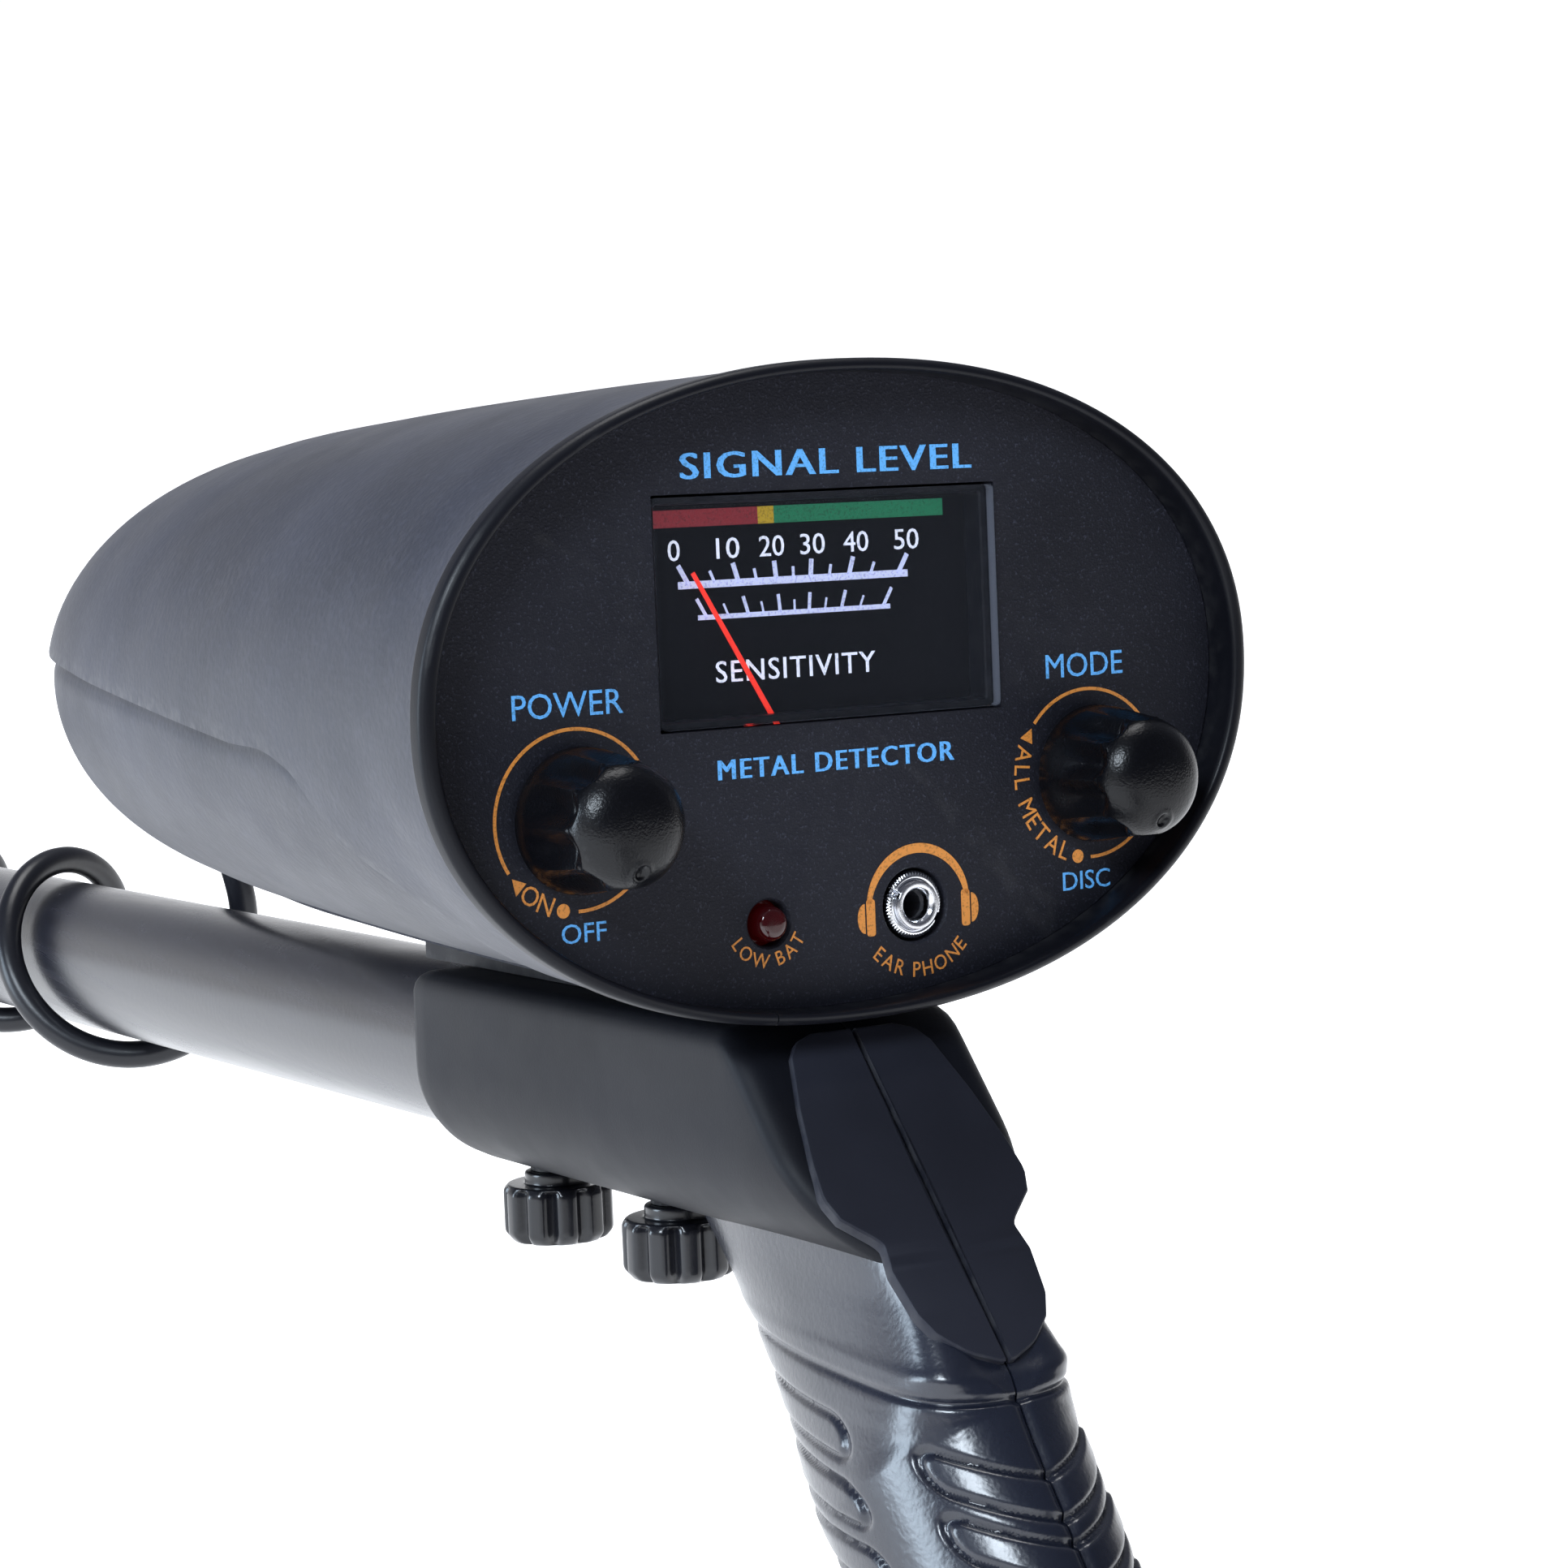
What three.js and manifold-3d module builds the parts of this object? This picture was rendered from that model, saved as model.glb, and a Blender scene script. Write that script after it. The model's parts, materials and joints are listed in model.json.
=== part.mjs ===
// A hand-held metal detector: a control box on a pistol-grip handle, a telescoping stem,
// a round search coil that tilts, and an arm cuff on a tube behind the grip.
//
// The model is drawn in the stem's frame and then pitched until the flat coil and the rear
// foot both stand on the ground. In the stem's frame X is to the right, Y runs forward along
// the stem towards the coil, Z is up, and the origin is on the stem's axis under the panel.
// Sizes are in millimetres.

import * as THREE from 'three';
import { mergeVertices } from 'three/addons/utils/BufferGeometryUtils.js';
import Module from 'manifold-3d';

const wasm = await Module();
wasm.setup();

// ---------------------------------------------------------------- driving dimensions

const PITCH = THREE.MathUtils.degToRad(8);
const GAP = 0.3;
const ROUND = 24;
const BOX_SIDES = 32;
const COIL_SIDES = 40;

// Control box: an oval body on the Y axis, wider than it is high.
const BOX_CENTRE_Z = 54;
const BOX_LENGTH = 177;
const BOX_WALL = 2.5;
const RIM_FRONT_Y = -5.3;
const RIM_HALF_HEIGHT = 40.15;
const RIM_ASPECT = 1.482;
const NOSE_ASPECT = 1.37;
const BOX_PROFILE = [
  [39.9, -1.9], [39.3, 25], [38.4, 60], [37.2, 95], [35.6, 125], [33, 146],
  [28.5, 160], [22, 169], [13, 174.8], [0, BOX_LENGTH],
];
const DOOR_STRIP_HALF_WIDTH = 18;
const DOOR_OUTLINE = [[40, 47], [31, 37.5], [16, 29], [16, 2], [200, 2], [200, 64.1]];

// Front panel and what stands on it.
const PANEL_THICKNESS = 2.2;
const PANEL_HALF_HEIGHT = 36.9;
const KNOB_X = 37.3;
const KNOB_Z = 41;
const KNOB_TIP_Y = -16.4;
const WINDOW = { x: -0.65, z: 64.4, width: 49.4, height: 28.3 };
const LAMP = { x: -11.4, z: 26.3, radius: 2.5 };
const JACK = { x: 9.7, z: 26.6, nutRadius: 4, hole: 4.6 };
const NEEDLE_PIVOT = { x: -2.6, z: 42.8 };
const NEEDLE_LENGTH = 30;
const NEEDLE_REST = THREE.MathUtils.degToRad(-30);
const SHAFT_RADIUS = 3;

// Batteries and the lead's socket inside the nose.
const BATTERY = { width: 26.5, length: 48.5, height: 17.5, inner: 15, rear: 82, bottom: 42 };
const SOCKET = { x: 6, z: 36 };

// Handle.
const SLEEVE_HALF_WIDTH = 17;
const SLEEVE_FRONT_Y = 91;
const SLEEVE_TOP_Z = 13.4;
const SCREW_Y = [79, 45];
const GRIP_HALF_WIDTH = 14.7;
const GRIP_HALF_DEPTH = 19;
const GRIP_START = [-0.4, -16];
const GRIP_END = [-72, -114];
const GRIP_BEND_RADIUS = 45;
const ARM_TUBE = { radius: 11, wall: 1.5, front: -100, rear: -335 };

// Stem.
const UPPER = { radius: 12.5, bore: 11.3, rear: 8, front: 430 };
const LOWER = { radius: 11, bore: 9.8, rear: 300, front: 742 };
const LOCK_RADIUS = 17;
const HINGE_Y = 760;

// Coil, in its own level frame with the tilt hinge at the origin.
const COIL_RADIUS = 105;
const COIL_BOTTOM_Z = -38;
const COIL_TOP_Z = -22;
const EAR_INNER_X = 9.3;
const EAR_OUTER_X = 15.3;
const BOLT_RADIUS = 4;
const GLAND_Y = 35;

// Lead.
const LEAD_RADIUS = 2.4;
const LEAD_SIDES = 8;
const SPLICE_Y = [397, 600, 722];

// Arm cuff and foot.
const CUFF = { rear: -318, front: -222, radius: 50, wall: 3, centreZ: -67, halfAngle: 105 };
const FOOT_Y = -281;

// ---------------------------------------------------------------- solids

/** A manifold solid of a closed geometry, with its faces pointing out. */
function solid(geometry) {
  const bare = new THREE.BufferGeometry();
  bare.setAttribute('position', geometry.getAttribute('position'));
  bare.setIndex(geometry.index);
  const merged = mergeVertices(bare, 1e-4);
  const corners = merged.getAttribute('position').array;
  const faces = [];
  for (let i = 0; i < merged.index.count; i += 3) {
    const [a, b, c] = merged.index.array.slice(i, i + 3);
    if (a !== b && b !== c && c !== a) faces.push(a, b, c);
  }
  const build = (order) => new wasm.Manifold(new wasm.Mesh({
    numProp: 3,
    vertProperties: new Float32Array(corners),
    triVerts: new Uint32Array(order),
  }));
  const made = build(faces);
  return made.volume() < 0 ? build(faces.reverse()) : made;
}

/** The three.js geometry of a manifold solid, with flat faces. */
function surface(made) {
  const mesh = made.getMesh();
  const geometry = new THREE.BufferGeometry();
  geometry.setAttribute('position', new THREE.BufferAttribute(mesh.vertProperties, 3));
  geometry.setIndex(new THREE.BufferAttribute(mesh.triVerts, 1));
  const flat = geometry.toNonIndexed();
  flat.computeVertexNormals();
  return flat;
}

/** One geometry cut by others. */
function cut(geometry, ...tools) {
  return surface(tools.reduce((made, tool) => made.subtract(solid(tool)), solid(geometry)));
}

/** Several geometries joined into one. */
function join(first, ...others) {
  return surface(others.reduce((made, other) => made.add(solid(other)), solid(first)));
}

/** What two geometries share. */
function meet(first, second) {
  return surface(solid(first).intersect(solid(second)));
}

/** A block between two corners. */
function block(x0, x1, y0, y1, z0, z1) {
  const geometry = new THREE.BoxGeometry(x1 - x0, y1 - y0, z1 - z0);
  return geometry.translate((x0 + x1) / 2, (y0 + y1) / 2, (z0 + z1) / 2);
}

/** A round bar along the Y axis through (x, z), from y0 to y1. */
function barY(radius, y0, y1, x = 0, z = 0, sides = ROUND) {
  const geometry = new THREE.CylinderGeometry(radius, radius, y1 - y0, sides);
  return geometry.translate(x, (y0 + y1) / 2, z);
}

/** A round bar along the Z axis through (x, y), from z0 to z1. */
function barZ(radius, z0, z1, x = 0, y = 0, sides = 20) {
  const geometry = new THREE.CylinderGeometry(radius, radius, z1 - z0, sides);
  return geometry.rotateX(Math.PI / 2).translate(x, y, (z0 + z1) / 2);
}

/** A round bar along the X axis through (y, z), from x0 to x1. */
function barX(radius, x0, x1, y = 0, z = 0, sides = 24) {
  const geometry = new THREE.CylinderGeometry(radius, radius, x1 - x0, sides);
  return geometry.rotateZ(Math.PI / 2).translate((x0 + x1) / 2, y, z);
}

/** A profile of [radius, y] points turned about the Y axis. */
function turned(profile, sides = ROUND) {
  return new THREE.LatheGeometry(profile.map(([r, y]) => new THREE.Vector2(r, y)), sides);
}

/** A profile of [radius, y] points that closes on itself, turned into a ring. */
function ring(profile, sides = ROUND) {
  return turned([...profile, profile[0]], sides);
}

/** A shape drawn as [y, z] points, carried along X from x0 to x1. */
function prismX(points, x0, x1) {
  const shape = new THREE.Shape(points.map(([y, z]) => new THREE.Vector2(y, z)));
  const geometry = new THREE.ExtrudeGeometry(shape, { depth: x1 - x0, bevelEnabled: false });
  const turn = new THREE.Matrix4().makeBasis(
    new THREE.Vector3(0, 1, 0), new THREE.Vector3(0, 0, 1), new THREE.Vector3(1, 0, 0));
  return geometry.applyMatrix4(turn).translate(x0, 0, 0);
}

/** A THREE.Shape drawn in X and Z, carried along Y from y0 to y1. */
function prismY(shape, y0, y1, curveSegments = 12) {
  const settings = { depth: y1 - y0, bevelEnabled: false, curveSegments };
  const geometry = new THREE.ExtrudeGeometry(shape, settings);
  const turn = new THREE.Matrix4().makeBasis(
    new THREE.Vector3(1, 0, 0), new THREE.Vector3(0, 0, 1), new THREE.Vector3(0, -1, 0));
  return geometry.applyMatrix4(turn).translate(0, y1, 0);
}

/** An ellipse of half-widths a and b carried along a curve. */
function pipe(curve, a, b, steps, sides) {
  const corners = [];
  for (let i = 0; i < sides; i += 1) {
    const angle = (2 * Math.PI * (i + 0.5)) / sides;
    corners.push(new THREE.Vector2(a * Math.cos(angle), b * Math.sin(angle)));
  }
  return new THREE.ExtrudeGeometry(new THREE.Shape(corners), { steps, extrudePath: curve });
}

/** A named mesh of a geometry in a finish. */
function piece(name, geometry, finish) {
  const mesh = new THREE.Mesh(geometry, finish);
  mesh.name = name;
  return mesh;
}

/** A group of pieces and groups. */
function groupOf(...members) {
  return new THREE.Group().add(...members);
}

// ---------------------------------------------------------------- finishes

const finish = (color, roughness, metalness = 0) =>
  new THREE.MeshStandardMaterial({ color, roughness, metalness });

const GRAINED_CASE = finish(0x3a3b46, 0.55);
const PANEL_BLACK = finish(0x24252d, 0.7);
const GLOSS_BLACK = finish(0x15161a, 0.25);
const MATTE_BLACK = finish(0x24252b, 0.6);
const STEM_BLACK = finish(0x1d1e25, 0.35, 0.3);
const RUBBER = finish(0x16161a, 0.85);
const CLEAR = finish(0xdfe6ea, 0.05);
const DIAL_BLACK = finish(0x0c0c0e, 0.8);
const NEEDLE_RED = finish(0xd5301f, 0.5);
const LAMP_RED = finish(0x5a0e12, 0.15);
const PLATED = finish(0xb9bdc4, 0.25, 1);
const STEEL = finish(0x8b8e93, 0.4, 1);
const BOARD_GREEN = finish(0x1f5a38, 0.6);
const CELL_LABEL = finish(0x3b3f48, 0.5);
const COPPER = finish(0xa4643b, 0.45, 0.8);
const FOAM = finish(0x1f2024, 0.95);

// ---------------------------------------------------------------- control box

/** Half width over half height of the box's oval at a distance along Y. */
function aspectAt(y) {
  const share = THREE.MathUtils.clamp(y / BOX_LENGTH, 0, 1);
  return THREE.MathUtils.lerp(RIM_ASPECT, NOSE_ASPECT, share);
}

/** A turned shape widened to the box's oval and set at its height. */
function oval(geometry) {
  const position = geometry.getAttribute('position');
  for (let i = 0; i < position.count; i += 1) {
    position.setX(i, position.getX(i) * aspectAt(position.getY(i)));
    position.setZ(i, position.getZ(i) + BOX_CENTRE_Z);
  }
  return geometry;
}

/** The outside of the box as a solid. */
function boxOutside() {
  return oval(turned([[0, BOX_PROFILE[0][1]], ...BOX_PROFILE], BOX_SIDES));
}

/** The space inside the box's wall, open towards the panel. */
function boxInside() {
  const inner = BOX_PROFILE.map(([r, y]) => [Math.max(r - BOX_WALL, 0), y]);
  inner[inner.length - 1][1] -= BOX_WALL;
  inner[inner.length - 2][1] -= BOX_WALL / 2;
  inner[0][1] -= 3;
  return oval(turned([[0, inner[0][1]], ...inner], BOX_SIDES));
}

/** The box's wall with the flat boss that carries the lead's socket. */
function boxWall() {
  const boss = barY(10, 158, BOX_LENGTH, SOCKET.x, SOCKET.z);
  return cut(join(cut(boxOutside(), boxInside()), boss), barY(6.6, 150, 190, SOCKET.x, SOCKET.z));
}

/** The door's side outline moved in from the opening by a gap. */
function doorOutline(gap) {
  return DOOR_OUTLINE.map(([y, z]) => [y + gap, z - gap]);
}

/** The battery door on one side: -1 is left, 1 is right. */
function batteryDoor(side) {
  const [near, far] = [DOOR_STRIP_HALF_WIDTH + GAP, 70];
  const region = prismX(doorOutline(GAP), side < 0 ? -far : near, side < 0 ? -near : far);
  return meet(boxWall(), region);
}

/** The main moulding of the box, with the door openings, boss and speaker holes cut in it. */
function caseShell() {
  const openings = [-1, 1].map((side) => {
    const [near, far] = [DOOR_STRIP_HALF_WIDTH, 70];
    return prismX(doorOutline(0), side < 0 ? -far : near, side < 0 ? -near : far);
  });
  const sounds = [-8, 0, 8].map((x) => barY(1.8, 150, 190, x, 66, 10));
  return cut(boxWall(), ...openings, ...sounds);
}

/** The rim that frames the recessed panel. */
function frontRim() {
  const h = RIM_HALF_HEIGHT;
  return oval(ring([
    [h - 3.5, RIM_FRONT_Y], [h - 0.7, RIM_FRONT_Y], [h, RIM_FRONT_Y + 0.7], [h, -2.2],
    [h - 3.1, -2.2], [h - 3.1, -GAP], [h - 3.5, -GAP],
  ], BOX_SIDES));
}

/** The panel, with its window, control, lamp and jack holes. */
function frontPanel() {
  const plate = oval(turned([[0, 0], [PANEL_HALF_HEIGHT, 0],
    [PANEL_HALF_HEIGHT, PANEL_THICKNESS], [0, PANEL_THICKNESS]], BOX_SIDES));
  const { x, z, width, height } = WINDOW;
  return cut(plate,
    block(x - width / 2, x + width / 2, -5, 10, z - height / 2, z + height / 2),
    barY(4, -5, 10, -KNOB_X, KNOB_Z, 16),
    barY(4, -5, 10, KNOB_X, KNOB_Z, 16),
    barY(LAMP.radius + GAP, -5, 10, LAMP.x, LAMP.z, 16),
    barY(JACK.hole, -5, 10, JACK.x, JACK.z, 20));
}

/** The meter: housing, dial, needle, clear window and moving-coil works. */
function meter() {
  const { x, z, width, height } = WINDOW;
  const [w, h] = [width / 2, height / 2];
  const housing = cut(
    block(x - w - 1.4, x + w + 1.4, PANEL_THICKNESS + GAP, 20, z - h - 14, z + h + 1.4),
    block(x - w, x + w, 0, 18.5, z - h - 12.5, z + h));
  const dial = block(x - w + GAP, x + w - GAP, 5, 5.6, z - h + GAP, z + h - GAP);
  const pane = block(x - w + GAP, x + w - GAP, -0.6, 1.2, z - h + GAP, z + h - GAP);
  const works = barY(8, 7, 18, NEEDLE_PIVOT.x, NEEDLE_PIVOT.z + 3.4, 24);
  return groupOf(
    piece('meter_housing', housing, MATTE_BLACK),
    piece('meter_dial', dial, DIAL_BLACK),
    piece('meter_window', pane, CLEAR),
    piece('meter_works', works, PLATED),
    piece('meter_needle', needle(), NEEDLE_RED));
}

/** The pointer with its hub, turned to its place at zero. */
function needle() {
  const blade = block(-0.35, 0.35, -0.2, 0.2, 0, NEEDLE_LENGTH);
  const hub = barY(1.6, -0.6, 0.6, 0, 0, 12);
  return join(blade, hub).rotateY(NEEDLE_REST).translate(NEEDLE_PIVOT.x, 3.6, NEEDLE_PIVOT.z);
}

/** A control knob, its shaft and its potentiometer behind the panel. */
function control(name, x) {
  const knob = cut(
    turned([[0, -1], [8.75, -1], [8.6, -4], [7.6, -5.5], [7.25, -13], [6, -15.4],
      [3.4, -16.2], [0, KNOB_TIP_Y]], 20),
    barY(5, -4, 0, 0, 0, 16),
    barY(SHAFT_RADIUS + GAP, -9.8, 0, 0, 0, 16));
  const shaft = barY(SHAFT_RADIUS, -9.5, 10, 0, 0, 16);
  const can = cut(
    join(barY(8.2, PANEL_THICKNESS + GAP, 12, 0, 0, 24), barY(3.7, -3, 4, 0, 0, 16)),
    barY(SHAFT_RADIUS + GAP, -5, 10.5, 0, 0, 16));
  const made = groupOf(
    piece(`${name}_knob`, knob, GLOSS_BLACK),
    piece(`${name}_shaft`, shaft, STEEL),
    piece(`${name}_potentiometer`, can, STEEL));
  made.position.set(x, 0, KNOB_Z);
  return made;
}

/** The low-battery lamp: a dome with a collar behind the panel. */
function lamp() {
  const r = LAMP.radius;
  const dome = turned([[0, -2.6], [1.3, -2.3], [2.2, -1.4], [r, 0], [r, 2.6], [r + 0.5, 2.6],
    [r + 0.5, 3.8], [0, 3.8]], 16);
  return piece('low_battery_lamp', dome.translate(LAMP.x, 0, LAMP.z), LAMP_RED);
}

/** The earphone jack and the nut that holds it. */
function jack() {
  const { x, z, nutRadius } = JACK;
  const body = cut(
    join(block(x - 5.5, x + 5.5, 4.6, 18, z - 5.5, z + 5.5), barY(3, 1.2, 5, x, z, 16)),
    barY(1.8, 0, 16, x, z, 12));
  const nut = cut(barY(nutRadius, 2, 4, x, z, 20), barY(3 + GAP, 1, 5, x, z, 16));
  return groupOf(piece('phone_jack', body, MATTE_BLACK), piece('jack_nut', nut, PLATED));
}

/** The circuit board with its larger parts on it. */
function circuitBoard() {
  const board = block(-38, 38, 26, 27.6, 33, 71);
  return join(board,
    block(-30, -12, 27.4, 31, 42, 49),
    block(6, 22, 27.4, 31, 55, 62),
    barY(4, 27.4, 38, -22, 62, 12),
    barY(5, 27.4, 40, 26, 44, 12));
}

/** The loudspeaker in the nose, facing forward. */
function speaker() {
  return turned([[0, 134], [11, 134], [11, 139], [19, 146], [19, 149], [16, 149], [6, 144],
    [0, 144]], 24).translate(0, 0, 60);
}

/** One nine-volt battery: -1 is left, 1 is right. */
function battery(side) {
  const { width, length, height, inner, rear, bottom } = BATTERY;
  const x0 = side < 0 ? -inner - width : inner;
  const cell = block(x0, x0 + width, rear, rear + length, bottom, bottom + height);
  return cell;
}

/** The holder with both battery snaps. */
function batteryHolder() {
  const { width, inner, rear, bottom, height } = BATTERY;
  const reach = inner + width;
  return join(
    block(-reach, reach, rear - 8, rear - GAP, bottom + 2, bottom + height - 2),
    block(-inner + 2, inner - 2, rear - 8, rear + 36, bottom + 2, bottom + height - 2));
}

/** The socket in the box's nose and the lead's plug in it. */
function leadConnector() {
  const { x, z } = SOCKET;
  const socket = cut(
    join(barY(6.3, 162, 178, 0, 0, 24), barY(9, BOX_LENGTH + GAP, 179, 0, 0, 24)),
    barY(4.3, 168, 185, 0, 0, 16)).translate(x, 0, z);
  const plug = turned([[0, 170], [4, 170], [4, 179.4], [8.2, 179.4], [8.6, 180.4], [8.6, 191],
    [6, 193], [5, 196], [3.4, 204], [0, 204]], 24).translate(x, 0, z);
  return groupOf(piece('coil_socket', socket, PLATED), piece('coil_plug', plug, MATTE_BLACK));
}

/** The bracket between the underside of the box and the handle. */
function boxSaddle() {
  const pad = block(-9, 9, 8, 99, SLEEVE_TOP_Z + GAP, 24);
  const trimmed = cut(pad, inflatedBox());
  return cut(trimmed, block(-20, 20, 90, 110, 0, SLEEVE_TOP_Z + GAP + 0.2));
}

/** The box's outside made larger by the assembly gap. */
function inflatedBox() {
  const profile = BOX_PROFILE.map(([r, y]) => [r === 0 ? 0 : r + GAP, y]);
  profile[profile.length - 1][1] += GAP;
  return oval(turned([[0, profile[0][1]], ...profile], BOX_SIDES));
}

/** Everything in and on the control box. */
function controlBox() {
  return groupOf(
    piece('case_shell', caseShell(), GRAINED_CASE),
    piece('battery_door_left', batteryDoor(-1), GRAINED_CASE),
    piece('battery_door_right', batteryDoor(1), GRAINED_CASE),
    piece('front_rim', frontRim(), MATTE_BLACK),
    piece('front_panel', frontPanel(), PANEL_BLACK),
    meter(),
    control('power', -KNOB_X),
    control('mode', KNOB_X),
    lamp(),
    jack(),
    piece('circuit_board', circuitBoard(), BOARD_GREEN),
    piece('speaker', speaker(), MATTE_BLACK),
    piece('battery_left', battery(-1), CELL_LABEL),
    piece('battery_right', battery(1), CELL_LABEL),
    piece('battery_holder', batteryHolder(), MATTE_BLACK),
    leadConnector(),
    piece('box_saddle', boxSaddle(), MATTE_BLACK));
}

// ---------------------------------------------------------------- handle

/** One half of a shape that is split on the plane X = 0. */
function half(geometry, side) {
  const [x0, x1] = side < 0 ? [-60, -GAP / 2] : [GAP / 2, 60];
  return meet(geometry, block(x0, x1, -400, 400, -400, 400));
}

/** The sleeve round the stem, its sloping back pad and the tongue down to the collar. */
function sleeve() {
  const w = SLEEVE_HALF_WIDTH;
  const section = new THREE.Shape();
  section.moveTo(w, SLEEVE_TOP_Z - 2);
  section.lineTo(w - 2, SLEEVE_TOP_Z);
  section.lineTo(2 - w, SLEEVE_TOP_Z);
  section.lineTo(-w, SLEEVE_TOP_Z - 2);
  section.lineTo(-w, 0);
  section.absarc(0, 0, w, Math.PI, 2 * Math.PI, false);
  const tube = prismY(section, -40, SLEEVE_FRONT_Y, 16);
  const slope = prismX([[0.5, 13.5], [-24.3, -18.3], [-60, -64], [-60, 40], [0.5, 40]], -30, 30);
  const tongue = prismX([[-9, -10], [-19.5, -14], [-23.3, -18.7], [-32, -24.7], [-33.7, -29.4],
    [-30, -31.5], [-20, -22], [-9, -15]], -9, 9);
  return join(cut(tube, slope), tongue);
}

/** Holes for the stem and the thumb screws. */
function sleeveBores() {
  const stem = barY(UPPER.radius + GAP, UPPER.rear - GAP, 120);
  const screws = SCREW_Y.map((y) => barZ(4.4, -25, -5, 0, y, 16));
  return [stem, ...screws];
}

/** The centre line of the grip: down and back, then round to the arm tube. */
function gripLine(start, endY) {
  const [y0, z0] = start;
  const [y1, z1] = GRIP_END;
  const length = Math.hypot(y1 - GRIP_START[0], z1 - GRIP_START[1]);
  const [dy, dz] = [(y1 - GRIP_START[0]) / length, (z1 - GRIP_START[1]) / length];
  const bendCentre = [y1 + dz * GRIP_BEND_RADIUS, z1 - dy * GRIP_BEND_RADIUS];
  const turn = Math.PI / 2 - Math.atan2(-dz, -dy);
  const points = [new THREE.Vector3(0, y0, z0), new THREE.Vector3(0, y1, z1)];
  points.splice(1, 0, ...[0.33, 0.66].map((s) => points[0].clone().lerp(points[1], s)));
  const full = Math.PI / 2 - turn;
  for (const share of [0.33, 0.66, 1]) {
    const angle = full * (1 - share);
    points.push(new THREE.Vector3(0,
      bendCentre[0] + GRIP_BEND_RADIUS * Math.sin(angle),
      bendCentre[1] - GRIP_BEND_RADIUS * Math.cos(angle)));
  }
  const last = points[points.length - 1];
  points.push(new THREE.Vector3(0, endY, last.z));
  return new THREE.CatmullRomCurve3(points, false, 'centripetal');
}

/** The height of the arm tube's axis. */
function armTubeZ() {
  return gripLine(GRIP_START, -128).getPoint(1).z;
}

/** The grip moulding: an oval handle with a web under the sleeve, hollow inside. */
function grip() {
  const body = pipe(gripLine(GRIP_START, -128), GRIP_HALF_WIDTH, GRIP_HALF_DEPTH, 14, 14);
  const web = prismX([[37, -14], [26, -19.5], [15, -28], [6, -41], [-1, -54], [-14, -50],
    [-14, -14]], -11, 11);
  const start = [GRIP_START[0] - 16, GRIP_START[1] - 22];
  const hollow = pipe(gripLine(start, -112), GRIP_HALF_WIDTH - 4, GRIP_HALF_DEPTH - 4, 10, 8);
  const tongueSpace = prismX([[-5, -10], [-40, -10], [-40, -30.2], [-30, -32.2],
    [-19, -22.5], [-5, -16]], -9 - GAP, 9 + GAP);
  const shell = cut(join(body, web), hollow, barY(SLEEVE_HALF_WIDTH + GAP, -80, 100),
    block(-30, 30, -60, 100, -13, 30), tongueSpace);
  return cut(shell, barY(ARM_TUBE.radius + GAP, -150, ARM_TUBE.front + GAP, 0, armTubeZ()));
}

/** The nylon shoe that bears on the stem, with the thumb screw that presses it. */
function stemClamp(name, y) {
  const shoe = barZ(3.7, -15.6, -UPPER.radius - GAP, 0, y, 16);
  const profile = [[0, -28.7], [7.2, -28.7], [8, -27.9], [8, -21], [7.2, -20.2], [4.8, -20.2],
    [4.8, -17.7], [3, -17.7], [3, -15.9], [0, -15.9]];
  const screw = turned(profile, 20).rotateX(Math.PI / 2).translate(0, y, 0);
  return groupOf(
    piece(`clamp_shoe_${name}`, shoe, RUBBER),
    piece(`thumb_screw_${name}`, screw, GLOSS_BLACK));
}

/** The arm tube and the cap in its end. */
function armTube() {
  const { radius, wall, front, rear } = ARM_TUBE;
  const z = armTubeZ();
  const tube = cut(barY(radius, rear, front, 0, z), barY(radius - wall, rear - 5, front + 5, 0, z));
  const cap = join(
    barY(radius - wall - GAP, rear - 1, rear + 10, 0, z),
    barY(radius, rear - 3, rear - GAP, 0, z));
  return groupOf(piece('arm_tube', tube, STEM_BLACK), piece('arm_tube_cap', cap, RUBBER));
}

/** The handle and its clamps. */
function handle() {
  const cover = cut(sleeve(), ...sleeveBores());
  const hold = grip();
  return groupOf(
    piece('handle_left', half(cover, -1), MATTE_BLACK),
    piece('handle_right', half(cover, 1), MATTE_BLACK),
    piece('grip_left', half(hold, -1), GLOSS_BLACK),
    piece('grip_right', half(hold, 1), GLOSS_BLACK),
    stemClamp('front', SCREW_Y[0]),
    stemClamp('rear', SCREW_Y[1]),
    armTube());
}

// ---------------------------------------------------------------- arm cuff

/** An arc of a thick ring, open at the top, as a shape in X and Z. */
function channel(outer, inner, halfAngle) {
  const half = THREE.MathUtils.degToRad(halfAngle);
  const down = -Math.PI / 2;
  const shape = new THREE.Shape();
  shape.absarc(0, 0, outer, down - half, down + half, false);
  shape.absarc(0, 0, inner, down + half, down - half, true);
  return shape;
}

/** A point on the ground under the rear foot, in the stem's frame. */
function groundUnder(y) {
  const drop = HINGE_Y * Math.sin(PITCH) - COIL_BOTTOM_Z;
  return (y * Math.sin(PITCH) - drop) / Math.cos(PITCH);
}

/** A geometry drawn level with the ground, put at a point on it in the stem's frame. */
function level(geometry, y, z) {
  return geometry.rotateX(PITCH).translate(0, y, z);
}

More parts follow.
